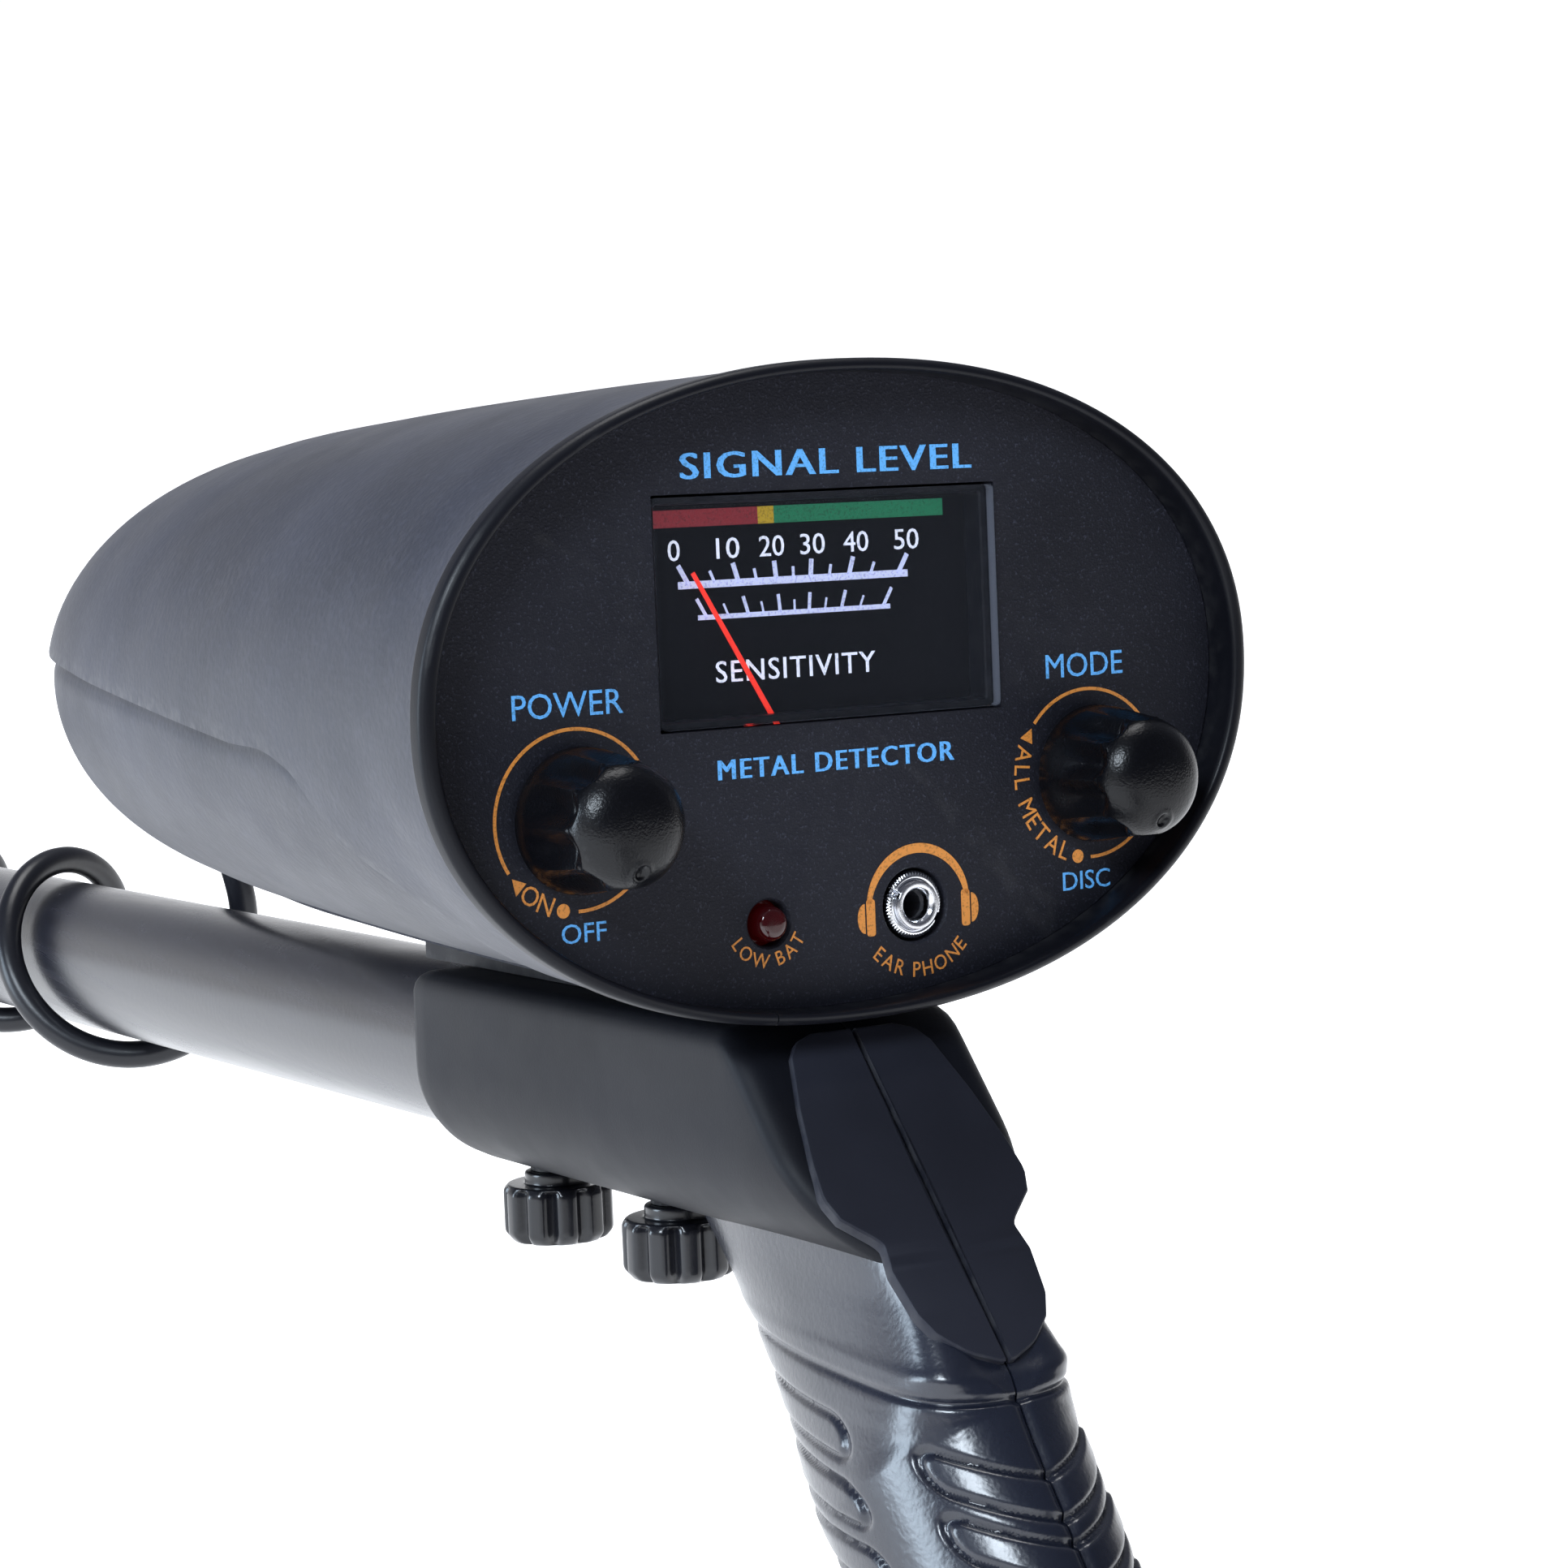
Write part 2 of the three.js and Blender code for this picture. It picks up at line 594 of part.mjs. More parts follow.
/** The cuff with its liner, and the bracket that slides on the arm tube and stands on the foot. */
function armCuff() {
  const { rear, front, radius, wall, centreZ, halfAngle } = CUFF;
  const tubeZ = armTubeZ();
  const ground = groundUnder(FOOT_Y);
  const shell = prismY(channel(radius, radius - wall, halfAngle), rear, front, 20);
  const liner = prismY(channel(radius - wall - GAP, radius - wall - 4, halfAngle - 8),
    rear + 4, front - 4, 20);
  const collar = barY(15, FOOT_Y - 18, FOOT_Y + 18, 0, tubeZ);
  const leg = prismX([[FOOT_Y - 15, tubeZ - 6], [FOOT_Y - 7, ground + 8],
    [FOOT_Y + 7, ground + 8], [FOOT_Y + 15, tubeZ - 6]], -8, 8);
  const base = level(block(-34, 34, -11, 11, 4.3, 10.5), FOOT_Y, ground);
  const bore = barY(ARM_TUBE.radius + GAP, FOOT_Y - 40, FOOT_Y + 40, 0, tubeZ);
  const tapped = barX(3.4, 5, 20, FOOT_Y, tubeZ, 16);
  const screw = join(barX(3, 11.6, 20, FOOT_Y, tubeZ, 16), barX(8, 17, 27, FOOT_Y, tubeZ, 20));
  const pad = level(block(-34, 34, -11, 11, 0, 4), FOOT_Y, ground);
  return groupOf(
    piece('cuff_bracket', cut(join(collar, leg, base), bore, tapped), MATTE_BLACK),
    piece('arm_cuff', shell.translate(0, 0, centreZ), MATTE_BLACK),
    piece('cuff_liner', liner.translate(0, 0, centreZ), FOAM),
    piece('cuff_screw', screw, GLOSS_BLACK),
    piece('foot_pad', pad, RUBBER));
}

// ---------------------------------------------------------------- stem

/** The telescoping stem with its twist lock and the fork that holds the coil. */
function stem() {
  const upper = cut(barY(UPPER.radius, UPPER.rear, UPPER.front),
    barY(UPPER.bore, UPPER.rear - 5, UPPER.front + 5));
  const lower = cut(barY(LOWER.radius, LOWER.rear, LOWER.front),
    barY(LOWER.bore, LOWER.rear - 5, LOWER.front + 5));
  const end = UPPER.front;
  const lockBody = ring([[12.8, end - 14], [16.2, end - 14], [16.5, end - 12], [16.5, end],
    [14.4, end], [14.4, end + 14], [11.9, end + 14], [11.9, end + 0.5], [12.8, end + 0.5]]);
  const lockNut = ring([[14.8, end + 0.5], [16.4, end + 0.5], [LOCK_RADIUS, end + 1.5],
    [LOCK_RADIUS, end + 24], [15, end + 28], [11.5, end + 28], [11.5, end + 16],
    [14.8, end + 16]]);
  const tongue = prismX(lug(11.5, Math.PI / 2, [[-16, -9], [-16, 9]]), -7, 7);
  const fork = cut(
    join(barY(LOWER.bore - GAP, 712, 744), barY(11.6, LOWER.front + GAP, 745),
      tongue.translate(0, HINGE_Y, 0)),
    barX(BOLT_RADIUS + 0.4, -20, 20, HINGE_Y, 0));
  return groupOf(
    piece('upper_stem', upper, STEM_BLACK),
    piece('lower_stem', lower, STEM_BLACK),
    piece('lock_body', lockBody, MATTE_BLACK),
    piece('lock_nut', lockNut, MATTE_BLACK),
    piece('stem_fork', fork, MATTE_BLACK));
}

/** A lug in [y, z] about the origin: half a circle from an angle down, then its base points. */
function lug(radius, firstAngle, base) {
  const points = [];
  for (let i = 0; i <= 10; i += 1) {
    const angle = firstAngle - (Math.PI * i) / 10;
    points.push([radius * Math.cos(angle), radius * Math.sin(angle)]);
  }
  return [...points, ...base];
}

// ---------------------------------------------------------------- search coil

/** The top cover of the coil: a hollow dish with a hub and two ears. */
function coilTop() {
  const r = COIL_RADIUS;
  const dish = turned([[0, COIL_BOTTOM_Z + 2.6], [r - 1, COIL_BOTTOM_Z + 2.6], [r, -34],
    [r, -30], [r - 3, -26], [r - 9, -24.5], [40, -24], [34, COIL_TOP_Z], [0, COIL_TOP_Z]], COIL_SIDES);
  const hollow = turned([[0, -60], [r - 3, -60], [r - 3, -31], [r - 6, -28], [r - 11, -27],
    [0, -26.5]], COIL_SIDES);
  const earPoints = lug(12, Math.PI, [[18, COIL_TOP_Z - 1], [-18, COIL_TOP_Z - 1]]);
  const ears = [-1, 1].map((side) => (side < 0
    ? prismX(earPoints, -EAR_OUTER_X, -EAR_INNER_X)
    : prismX(earPoints, EAR_INNER_X, EAR_OUTER_X)));
  return cut(join(upright(dish), ...ears), upright(hollow),
    barX(BOLT_RADIUS + 0.4, -30, 30, 0, 0), barZ(3.4, -40, -10, 0, GLAND_Y, 16));
}

/** A shape turned about Y set upright, so that it is round about Z. */
function upright(geometry) {
  return geometry.rotateX(Math.PI / 2);
}

/** A flat winding inside the coil. */
function winding(inner, outer) {
  return upright(ring([[inner, -34.6], [outer, -34.6], [outer, -29], [inner, -29]], COIL_SIDES));
}

/** The search coil, its bolt and washers, and the gland where the lead goes in. */
function searchCoil() {
  const underside = upright(turned([[0, COIL_BOTTOM_Z], [COIL_RADIUS - 2, COIL_BOTTOM_Z],
    [COIL_RADIUS - 1, COIL_BOTTOM_Z + 1], [COIL_RADIUS - 1, COIL_BOTTOM_Z + 2.3],
    [0, COIL_BOTTOM_Z + 2.3]], COIL_SIDES));
  const washer = (x0, x1) => cut(barX(10, x0, x1), barX(BOLT_RADIUS + 0.4, x0 - 5, x1 + 5));
  const bolt = join(barX(BOLT_RADIUS, -18, 24), barX(8, -20, -EAR_OUTER_X - GAP));
  const nut = cut(barX(10.5, EAR_OUTER_X + GAP, 27), barX(BOLT_RADIUS + GAP, 0, 25));
  const gland = upright(ring([[LEAD_RADIUS + 0.4, -25], [3.1, -25], [3.1, -21.7], [7, -21.7],
    [6.6, -17], [4.2, -9], [LEAD_RADIUS + 0.4, -9]], 16)).translate(0, GLAND_Y, 0);
  const coil = groupOf(
    piece('coil_top', coilTop(), MATTE_BLACK),
    piece('coil_underside', underside, MATTE_BLACK),
    piece('transmit_winding', winding(86, 95), COPPER),
    piece('receive_winding', winding(42, 48), COPPER),
    piece('coil_gland', gland, RUBBER),
    piece('washer_left', washer(-EAR_INNER_X + GAP, -7 - GAP), RUBBER),
    piece('washer_right', washer(7 + GAP, EAR_INNER_X - GAP), RUBBER),
    piece('coil_bolt', bolt, GLOSS_BLACK),
    piece('coil_nut', nut, GLOSS_BLACK));
  coil.position.y = HINGE_Y;
  coil.rotation.x = PITCH;
  return coil;
}

// ---------------------------------------------------------------- lead

/** The lead's winding: [y, turns from the top, distance from the stem's axis]. */
const WINDING = [
  [222, 0.25, 16.4], [235, 0.5, 16.2], [266, 1, 16.2], [297, 1.5, 16.2], [328, 2, 16.2],
  [359, 2.5, 16.2], [386, 3, 16.2], [406, 3, 16.2], [415, 3.06, 20.3], [432, 3.3, 21.5],
  [468, 3.8, 22], [520, 4.35, 20], [556, 4.75, 16.5], [580, 5, 14.2], [614, 5, 14.2],
  [642, 5.5, 14.6], [668, 6, 14.6], [688, 6.5, 14.6], [704, 7, 14.4], [722, 7, 14.4],
];

/** A point of the winding at a distance along the stem. */
function windingPoint(y) {
  const last = WINDING.findIndex(([to]) => to >= y);
  const [y1, turns1, reach1] = WINDING[Math.max(last, 1)];
  const [y0, turns0, reach0] = WINDING[Math.max(last, 1) - 1];
  const share = (y - y0) / (y1 - y0);
  const angle = 2 * Math.PI * THREE.MathUtils.lerp(turns0, turns1, share);
  const reach = THREE.MathUtils.lerp(reach0, reach1, share);
  return new THREE.Vector3(reach * Math.sin(angle), y, reach * Math.cos(angle));
}

/** The winding's points between two distances along the stem. */
function windingPoints(from, to, count) {
  return Array.from({ length: count + 1 }, (_, i) =>
    windingPoint(THREE.MathUtils.lerp(from, to, i / count)));
}

/** A length of lead through points. */
function lead(points, steps) {
  const curve = new THREE.CatmullRomCurve3(points, false, 'centripetal');
  return pipe(curve, LEAD_RADIUS, LEAD_RADIUS, steps, LEAD_SIDES);
}

/** A point of the level coil frame, in the stem's frame. */
function fromCoil(y, z) {
  const [c, s] = [Math.cos(PITCH), Math.sin(PITCH)];
  return new THREE.Vector3(0, HINGE_Y + y * c - z * s, y * s + z * c);
}

/** The lead in four lengths: on the upper stem, across the lock, on the lower stem, to the coil. */
function coilLead() {
  const { x, z } = SOCKET;
  const drop = [[x, 204 + GAP, z], [x, 208, z], [x + 0.8, 213, z - 1.5], [x + 3.5, 217.5, z - 7],
    [x + 7, 220, z - 15], [x + 9.6, 220.4, z - 25]].map((p) => new THREE.Vector3(...p));
  const over = [[SPLICE_Y[2] + GAP, 14.4], [726, 14.5], [733, 15.6], [746, 21.5], [762, 24.5], [778, 20.5]]
    .map(([y, up]) => new THREE.Vector3(0, y, up));
  const entry = [fromCoil(GLAND_Y - 3.2, 6), fromCoil(GLAND_Y - 0.2, -4),
    fromCoil(GLAND_Y, -12), fromCoil(GLAND_Y, -20)];
  return groupOf(
    piece('lead_upper', lead([...drop, ...windingPoints(222, SPLICE_Y[0], 32)], 36), RUBBER),
    piece('lead_slack', lead(windingPoints(SPLICE_Y[0] + GAP, SPLICE_Y[1], 34), 30), RUBBER),
    piece('lead_lower', lead(windingPoints(SPLICE_Y[1] + GAP, SPLICE_Y[2], 24), 24), RUBBER),
    piece('lead_coil', lead([...over, ...entry], 12), RUBBER));
}

// ---------------------------------------------------------------- the detector

/** The model pitched to stand on coil and foot, with its box centred over the origin. */
function standing(model) {
  model.rotation.x = -PITCH;
  model.updateMatrixWorld(true);
  const box = new THREE.Box3().setFromObject(model, true);
  const centre = box.getCenter(new THREE.Vector3());
  model.position.set(-centre.x, -centre.y, -box.min.z);
  return groupOf(model);
}

export default standing(groupOf(controlBox(), handle(), armCuff(), stem(), searchCoil(), coilLead()));
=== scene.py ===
"""A hand-held metal detector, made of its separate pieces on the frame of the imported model.

Sizes are millimetres in one of two places: the stem's, with Y along the stem and its origin on the stem's
axis under the control panel, and the coil's, level, with its origin on the tilt hinge.
"""

import json
import logging
import math
from dataclasses import dataclass, field
from enum import Enum
from typing import Any, Callable, Dict, List, Optional, Sequence, Tuple, Union

import bmesh
import bpy
import numpy as np
from mathutils import Matrix, Vector


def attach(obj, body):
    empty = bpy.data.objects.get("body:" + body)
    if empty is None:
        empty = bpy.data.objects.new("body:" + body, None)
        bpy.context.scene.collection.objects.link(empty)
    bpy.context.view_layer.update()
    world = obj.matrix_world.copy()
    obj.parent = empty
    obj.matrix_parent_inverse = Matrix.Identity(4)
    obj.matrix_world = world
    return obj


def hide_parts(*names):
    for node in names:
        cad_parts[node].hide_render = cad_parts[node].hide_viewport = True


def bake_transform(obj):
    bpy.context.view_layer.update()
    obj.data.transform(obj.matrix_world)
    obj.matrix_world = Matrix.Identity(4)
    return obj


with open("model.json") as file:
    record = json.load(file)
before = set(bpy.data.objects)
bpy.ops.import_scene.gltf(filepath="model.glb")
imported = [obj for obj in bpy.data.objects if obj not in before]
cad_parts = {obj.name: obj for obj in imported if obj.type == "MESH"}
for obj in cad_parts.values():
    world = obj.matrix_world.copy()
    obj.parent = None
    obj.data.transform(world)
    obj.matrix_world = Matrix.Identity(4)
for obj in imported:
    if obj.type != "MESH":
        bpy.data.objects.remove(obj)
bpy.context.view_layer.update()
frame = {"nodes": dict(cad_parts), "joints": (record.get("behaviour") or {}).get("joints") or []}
LOG = logging.getLogger("metal_detector")
Array = np.ndarray
Colour = Tuple[float, float, float]
TAU = 2.0 * math.pi


# ------------------------------------------------------------------ places


@dataclass(frozen=True)
class Place:
    """An upright or sloping set of axes that shapes are drawn in, in millimetres."""

    origin: Array
    axes: Array

    def row(self, points: Array) -> Array:
        """Millimetres here as metres in the row frame: the origin plus each coordinate along its axis."""
        return self.origin + np.asarray(points, float) @ self.axes / 1000.0

    def moved(self, x: float = 0.0, y: float = 0.0, z: float = 0.0) -> "Place":
        """The same axes with their origin moved along them by millimetres."""
        return Place(self.row(np.array([x, y, z])), self.axes)

    def upright(self) -> "Place":
        """Axes whose Y is this place's Z, for shapes turned about an upright line."""
        return Place(self.origin, np.array([self.axes[0], self.axes[2], -self.axes[1]]))

    def sideways(self) -> "Place":
        """Axes whose Y is this place's X and whose X is its -Y, for shapes turned about a line across."""
        return Place(self.origin, np.array([-self.axes[1], self.axes[0], self.axes[2]]))


def joint(name: str) -> Dict[str, Any]:
    """The frame's entry for a joint."""
    return next(entry for entry in frame["joints"] if entry["name"] == name)


def stem_place() -> Place:
    """The stem's place, found from the two knobs: they lie 41 mm above its origin."""
    left = np.array(joint("power_knob_turn")["pos_m"], float)
    right = np.array(joint("mode_knob_turn")["pos_m"], float)
    along = np.array(joint("power_knob_turn")["axis"], float)
    along /= np.linalg.norm(along)
    across = np.array([1.0, 0.0, 0.0])
    up = np.cross(across, along)
    return Place((left + right) / 2.0 - 0.041 * up, np.array([across, along, up]))


def coil_place() -> Place:
    """The coil's place: level, with its origin on the tilt hinge."""
    return Place(np.array(joint("coil_tilt")["pos_m"], float), np.eye(3))


STEM = stem_place()
COIL = coil_place()


# ------------------------------------------------------------------ shapes


def flowing(points: Sequence[Sequence[float]], count: int) -> Array:
    """A smooth line through points: cubic pieces whose slope at a point is the mean of the chords beside it,
    weighted by the other chord's length.

    Args:
        points: the points, each of any number of coordinates.
        count: how many points to return, evenly spaced along the chords.

    Returns:
        An array of count points.
    """
    p = np.asarray(points, float)
    chord = np.linalg.norm(np.diff(p, axis=0), axis=1)
    t = np.concatenate([[0.0], np.cumsum(chord)])
    return along_line(p, t, np.linspace(0.0, t[-1], count))


def along_line(p: Array, t: Array, where: Array) -> Array:
    """Values of the smooth line that passes p at the stations t.

    Args:
        p: points, one row each.
        t: their stations, rising.
        where: the stations wanted.

    Returns:
        One row for each station wanted.
    """
    step = np.diff(t)[:, None]
    chord = np.diff(p, axis=0) / step
    inner = (step[1:] * chord[:-1] + step[:-1] * chord[1:]) / (step[1:] + step[:-1])
    slope = np.concatenate([chord[:1], inner, chord[-1:]])
    i = np.clip(np.searchsorted(t, where, side="right") - 1, 0, len(t) - 2)
    h = step[i]
    u = (np.asarray(where, float)[:, None] - t[i][:, None]) / h
    return (
        (2 * u**3 - 3 * u**2 + 1) * p[i]
        + (u**3 - 2 * u**2 + u) * h * slope[i]
        + (3 * u**2 - 2 * u**3) * p[i + 1]
        + (u**3 - u**2) * h * slope[i + 1]
    )


def table(values: Sequence[Tuple[float, float]], where: Array) -> Array:
    """A smooth curve of one value against another, read at the stations given."""
    p = np.asarray(values, float)
    inside = np.clip(where, p[0, 0], p[-1, 0]).ravel()
    return along_line(p[:, 1:], p[:, 0], inside)[:, 0].reshape(np.shape(where))


def eased(corners: Sequence[Tuple[float, float, float]], steps: int = 5, closed: bool = True) -> Array:
    """A polygon with each corner replaced by a parabola that leaves its sides at the corner's easing
    distance.

    Args:
        corners: the corners as two coordinates and an easing distance.
        steps: points on each corner.
        closed: whether the last corner joins the first; an open line keeps its two ends.

    Returns:
        The points in order.
    """
    c = np.asarray(corners, float)
    p, ease = c[:, :2], c[:, 2:]
    before, after = np.roll(p, 1, axis=0) - p, np.roll(p, -1, axis=0) - p
    reach = [np.linalg.norm(side, axis=1, keepdims=True) for side in (before, after)]
    cut = [np.minimum(ease, 0.499 * length) / np.maximum(length, 1e-9) for length in reach]
    a, b = p + before * cut[0], p + after * cut[1]
    if not closed:
        a[0] = b[0] = p[0]
        a[-1] = b[-1] = p[-1]
    t = np.linspace(0.0, 1.0, steps)[None, :, None]
    line = (1 - t) ** 2 * a[:, None] + 2 * t * (1 - t) * p[:, None] + t**2 * b[:, None]
    line = line.reshape(-1, 2)
    keep = np.concatenate([[True], np.linalg.norm(np.diff(line, axis=0), axis=1) > 1e-6])
    return line[keep]


def refined(line: Array, longest: float) -> Array:
    """A polyline with extra points, so that no stretch is longer than a limit."""
    stretch = np.linalg.norm(np.diff(line, axis=0), axis=1)
    parts = np.maximum(np.ceil(stretch / longest).astype(int), 1)
    at = np.repeat(np.arange(len(parts)), parts)
    first = np.concatenate([[0], np.cumsum(parts)[:-1]])
    share = (np.arange(len(at)) - first[at]) / parts[at]
    inner = line[at] + (line[at + 1] - line[at]) * share[:, None]
    return np.concatenate([inner, line[-1:]])


def looped(line: Array) -> Array:
    """A ring of points with its first point again at its end."""
    return np.concatenate([line, line[:1]])


def drawn_in(outline: Array, middle: Array, inset: float) -> Array:
    """An outline whose points are moved towards a middle by a distance."""
    away = middle - outline
    return outline + away / np.maximum(np.linalg.norm(away, axis=1, keepdims=True), 1.0) * inset


def bell(value: Array, width: float) -> Array:
    """1 at nought, falling away on both sides: exp(-(value / width)^2)."""
    return np.exp(-((value / width) ** 2))


def smooth_step(low: float, high: float, value: Array) -> Array:
    """0 below low, 1 above high, and the cubic 3t^2 - 2t^3 between."""
    t = np.clip((value - low) / (high - low), 0.0, 1.0)
    return t * t * (3.0 - 2.0 * t)


def about_y(radius: Array, y: Array, angle: Array, x: float = 0.0, z: float = 0.0) -> Array:
    """Points round a line along Y: x = radius * sin(angle), z = radius * cos(angle)."""
    return np.stack([x + radius * np.sin(angle), y + 0.0 * angle, z + radius * np.cos(angle)], axis=-1)


def turned(profile: Array, sides: int, shape=None) -> Array:
    """A profile of (radius, y) turned about Y: a grid with a row for each profile point.

    Args:
        profile: radius and y of each point.
        sides: columns round the axis.
        shape: an optional function of (radius, y, angle) that gives the radius to use, for flutes and ovals.

    Returns:
        The grid of points, whose last column joins its first.
    """
    angle = np.arange(sides) * TAU / sides
    radius, y = np.broadcast_arrays(profile[:, 0][:, None], profile[:, 1][:, None])
    radius, y = radius + 0 * angle, y + 0 * angle
    if shape is not None:
        radius = shape(radius, y, angle[None, :])
    return about_y(radius, y, angle[None, :] + 0 * radius)


def swept(path: Array, across: Array, section: Array) -> Array:
    """A closed section carried along a path: each point is the path's point plus the section's two
    coordinates along the across direction made square to the path, and along the direction square to both.

    Args:
        path: the path's points.
        across: a direction at each point, or one for all, that is never along the path.
        section: the section's points, (n, 2), or (rows, n, 2) where it changes along the path.

    Returns:
        The grid of points, whose last column joins its first.
    """
    tangent = np.gradient(path, axis=0)
    tangent /= np.linalg.norm(tangent, axis=1, keepdims=True)
    across = np.broadcast_to(np.asarray(across, float), path.shape)
    first = across - np.sum(across * tangent, axis=1, keepdims=True) * tangent
    first /= np.linalg.norm(first, axis=1, keepdims=True)
    second = np.cross(tangent, first)
    section = np.broadcast_to(section, (len(path),) + section.shape[-2:])
    return path[:, None] + section[..., :1] * first[:, None] + section[..., 1:] * second[:, None]


def circle(radius: Union[float, Array], sides: int) -> Array:
    """The points of a circle, counter-clockwise from its first axis."""
    angle = np.arange(sides) * TAU / sides
    ring = np.stack([np.cos(angle), np.sin(angle)], axis=-1)
    return np.asarray(radius, float)[..., None, None] * ring


class Skin:
    """Surfaces gathered into one mesh, in the millimetres of a place."""

    def __init__(self) -> None:
        """Starts with nothing."""
        self._points: List[Array] = []
        self._faces: List[Array] = []
        self._count = 0

    def sheet(self, grid: Array, wrap: bool = False, keep: Optional[Array] = None) -> "Skin":
        """Adds a grid of points as four-sided faces.

        Args:
            grid: points as (rows, columns, 3).
            wrap: whether the last column joins the first.
            keep: which cells to keep, or None for all.

        Returns:
            This skin.
        """
        rows, columns = grid.shape[:2]
        index = self._count + np.arange(rows * columns).reshape(rows, columns)
        if wrap:
            index = np.concatenate([index, index[:, :1]], axis=1)
        cells = np.stack([index[:-1, :-1], index[:-1, 1:], index[1:, 1:], index[1:, :-1]], axis=-1)
        self._points.append(np.array(grid, float).reshape(-1, 3))
        self._faces.append(cells[keep] if keep is not None else cells.reshape(-1, 4))
        self._count += rows * columns
        return self

    def strip(self, one: Array, other: Array, wrap: bool = False) -> "Skin":
        """Adds a band of faces between two lines with as many points each."""
        return self.sheet(np.stack([one, other]), wrap)

    def lid(self, line: Array) -> "Skin":
        """Closes a ring of points with faces that meet at its middle."""
        return self.strip(line, np.broadcast_to(line.mean(axis=0), line.shape), wrap=True)

    def turned(self, profile: Array, sides: int, shape=None, at: Sequence[float] = (0.0, 0.0, 0.0)) -> "Skin":
        """Adds a closed profile turned about a line along Y through a point."""
        return self.sheet(turned(profile, sides, shape) + np.asarray(at, float), wrap=True)

    def walled(self, outer: Array, inner: Array) -> "Skin":
        """Adds two grids and the walls that join them along all four edges."""
        self.sheet(outer).sheet(inner)
        for edge in (np.s_[0], np.s_[-1], np.s_[:, 0], np.s_[:, -1]):
            self.strip(outer[edge], inner[edge])
        return self

    def pierced(self, outer: Array, inner: Array, keep: Array) -> "Skin":
        """Adds two grids that wrap round, without the cells left out, and walls round every opening and
        end."""
        self.sheet(outer, True, keep).sheet(inner, True, keep)
        lines = np.pad(keep, ((1, 1), (0, 0)))
        row, column = np.nonzero(lines[1:] != lines[:-1])
        after = (column + 1) % outer.shape[1]
        self._bridge(outer[row, column], outer[row, after], inner[row, after], inner[row, column])
        row, column = np.nonzero(keep != np.roll(keep, 1, axis=1))
        self._bridge(outer[row, column], outer[row + 1, column], inner[row + 1, column], inner[row, column])
        return self

    def _bridge(self, a: Array, b: Array, c: Array, d: Array) -> None:
        """Adds separate four-sided faces."""
        points = np.stack([a, b, c, d], axis=1)
        self._points.append(points.reshape(-1, 3))
        self._faces.append(self._count + np.arange(len(points) * 4).reshape(-1, 4))
        self._count += len(points) * 4

    def loose(self, points: Array, faces: Array) -> "Skin":
        """Adds points with faces that name them by number."""
        self._points.append(points)
        self._faces.append(faces + self._count)
        self._count += len(points)
        return self

    def mirror(self) -> "Skin":
        """Reflects everything so far in the plane x = 0."""
        for points in self._points:
            points[:, 0] *= -1.0
        return self

    def solid(self, rows: Sequence[Array]) -> "Skin":
        """Adds rings of points joined in order, with a lid on the first and on the last."""
        return self.sheet(np.array(rows), True).lid(rows[0]).lid(rows[-1])

    def rod(self, radius: float, y0: float, y1: float, sides: int,
            at: Sequence[float] = (0.0, 0.0, 0.0)) -> "Skin":
        """Adds a plain rod along Y, which drills a hole where it is cut out."""
        return self.turned(np.array([[0.0, y0], [radius, y0], [radius, y1], [0.0, y1]]), sides, at=at)

    def slab(self, top: Array, bottom: Array) -> "Skin":
        """Closes two rings of points with a wall between them and a lid on each."""
        return self.strip(top, bottom, wrap=True).lid(top).lid(bottom)

    def block(self, low: Sequence[float], high: Sequence[float], ease: float = 0.4) -> "Skin":
        """Adds a box whose upright edges are eased and whose ends are drawn in by the same amount."""
        (x0, y0, z0), (x1, y1, z1) = low, high
        ring = eased([(x0, y0, ease), (x1, y0, ease), (x1, y1, ease), (x0, y1, ease)])
        middle = np.array([(x0 + x1) / 2, (y0 + y1) / 2])
        drawn = middle + (ring - middle) * (1 - ease / np.array([x1 - x0, y1 - y0]))
        heights = (z0, z0 + ease / 2, z1 - ease / 2, z1)
        rows = [np.column_stack([line, np.full(len(line), z)]) for line,
                z in zip((drawn, ring, ring, drawn), heights)]
        return self.solid(rows)

    def mesh(self, name: str, place: Place, crease: float = 32.0) -> bpy.types.Mesh:
        """The mesh: doubles merged, faces turned outwards, smooth but for edges sharper than crease
        degrees."""
        made = bpy.data.meshes.new(name)
        points = place.row(np.concatenate(self._points))
        made.from_pydata(points.tolist(), [], [face for part in self._faces for face in part.tolist()])
        return tidied(made, crease)


def tidied(mesh: bpy.types.Mesh, crease: float = 32.0) -> bpy.types.Mesh:
    """Merges a mesh's doubles, turns its faces outwards and smooths it but for its sharp edges."""
    work = bmesh.new()
    work.from_mesh(mesh)
    bmesh.ops.remove_doubles(work, verts=work.verts, dist=2e-6)
    bmesh.ops.dissolve_degenerate(work, dist=1e-6, edges=work.edges)
    bmesh.ops.recalc_face_normals(work, faces=work.faces)
    work.to_mesh(mesh)
    work.free()
    mesh.polygons.foreach_set("use_smooth", np.ones(len(mesh.polygons), bool))
    mesh.set_sharp_from_angle(angle=math.radians(crease))
    mesh.update()
    return mesh


def joined(one: bpy.types.Mesh, other: bpy.types.Mesh, crease: float = 32.0) -> bpy.types.Mesh:
    """One mesh with the faces of two."""
    work = bmesh.new()
    work.from_mesh(one)
    work.from_mesh(other)
    work.to_mesh(one)
    work.free()
    return tidied(one, crease)


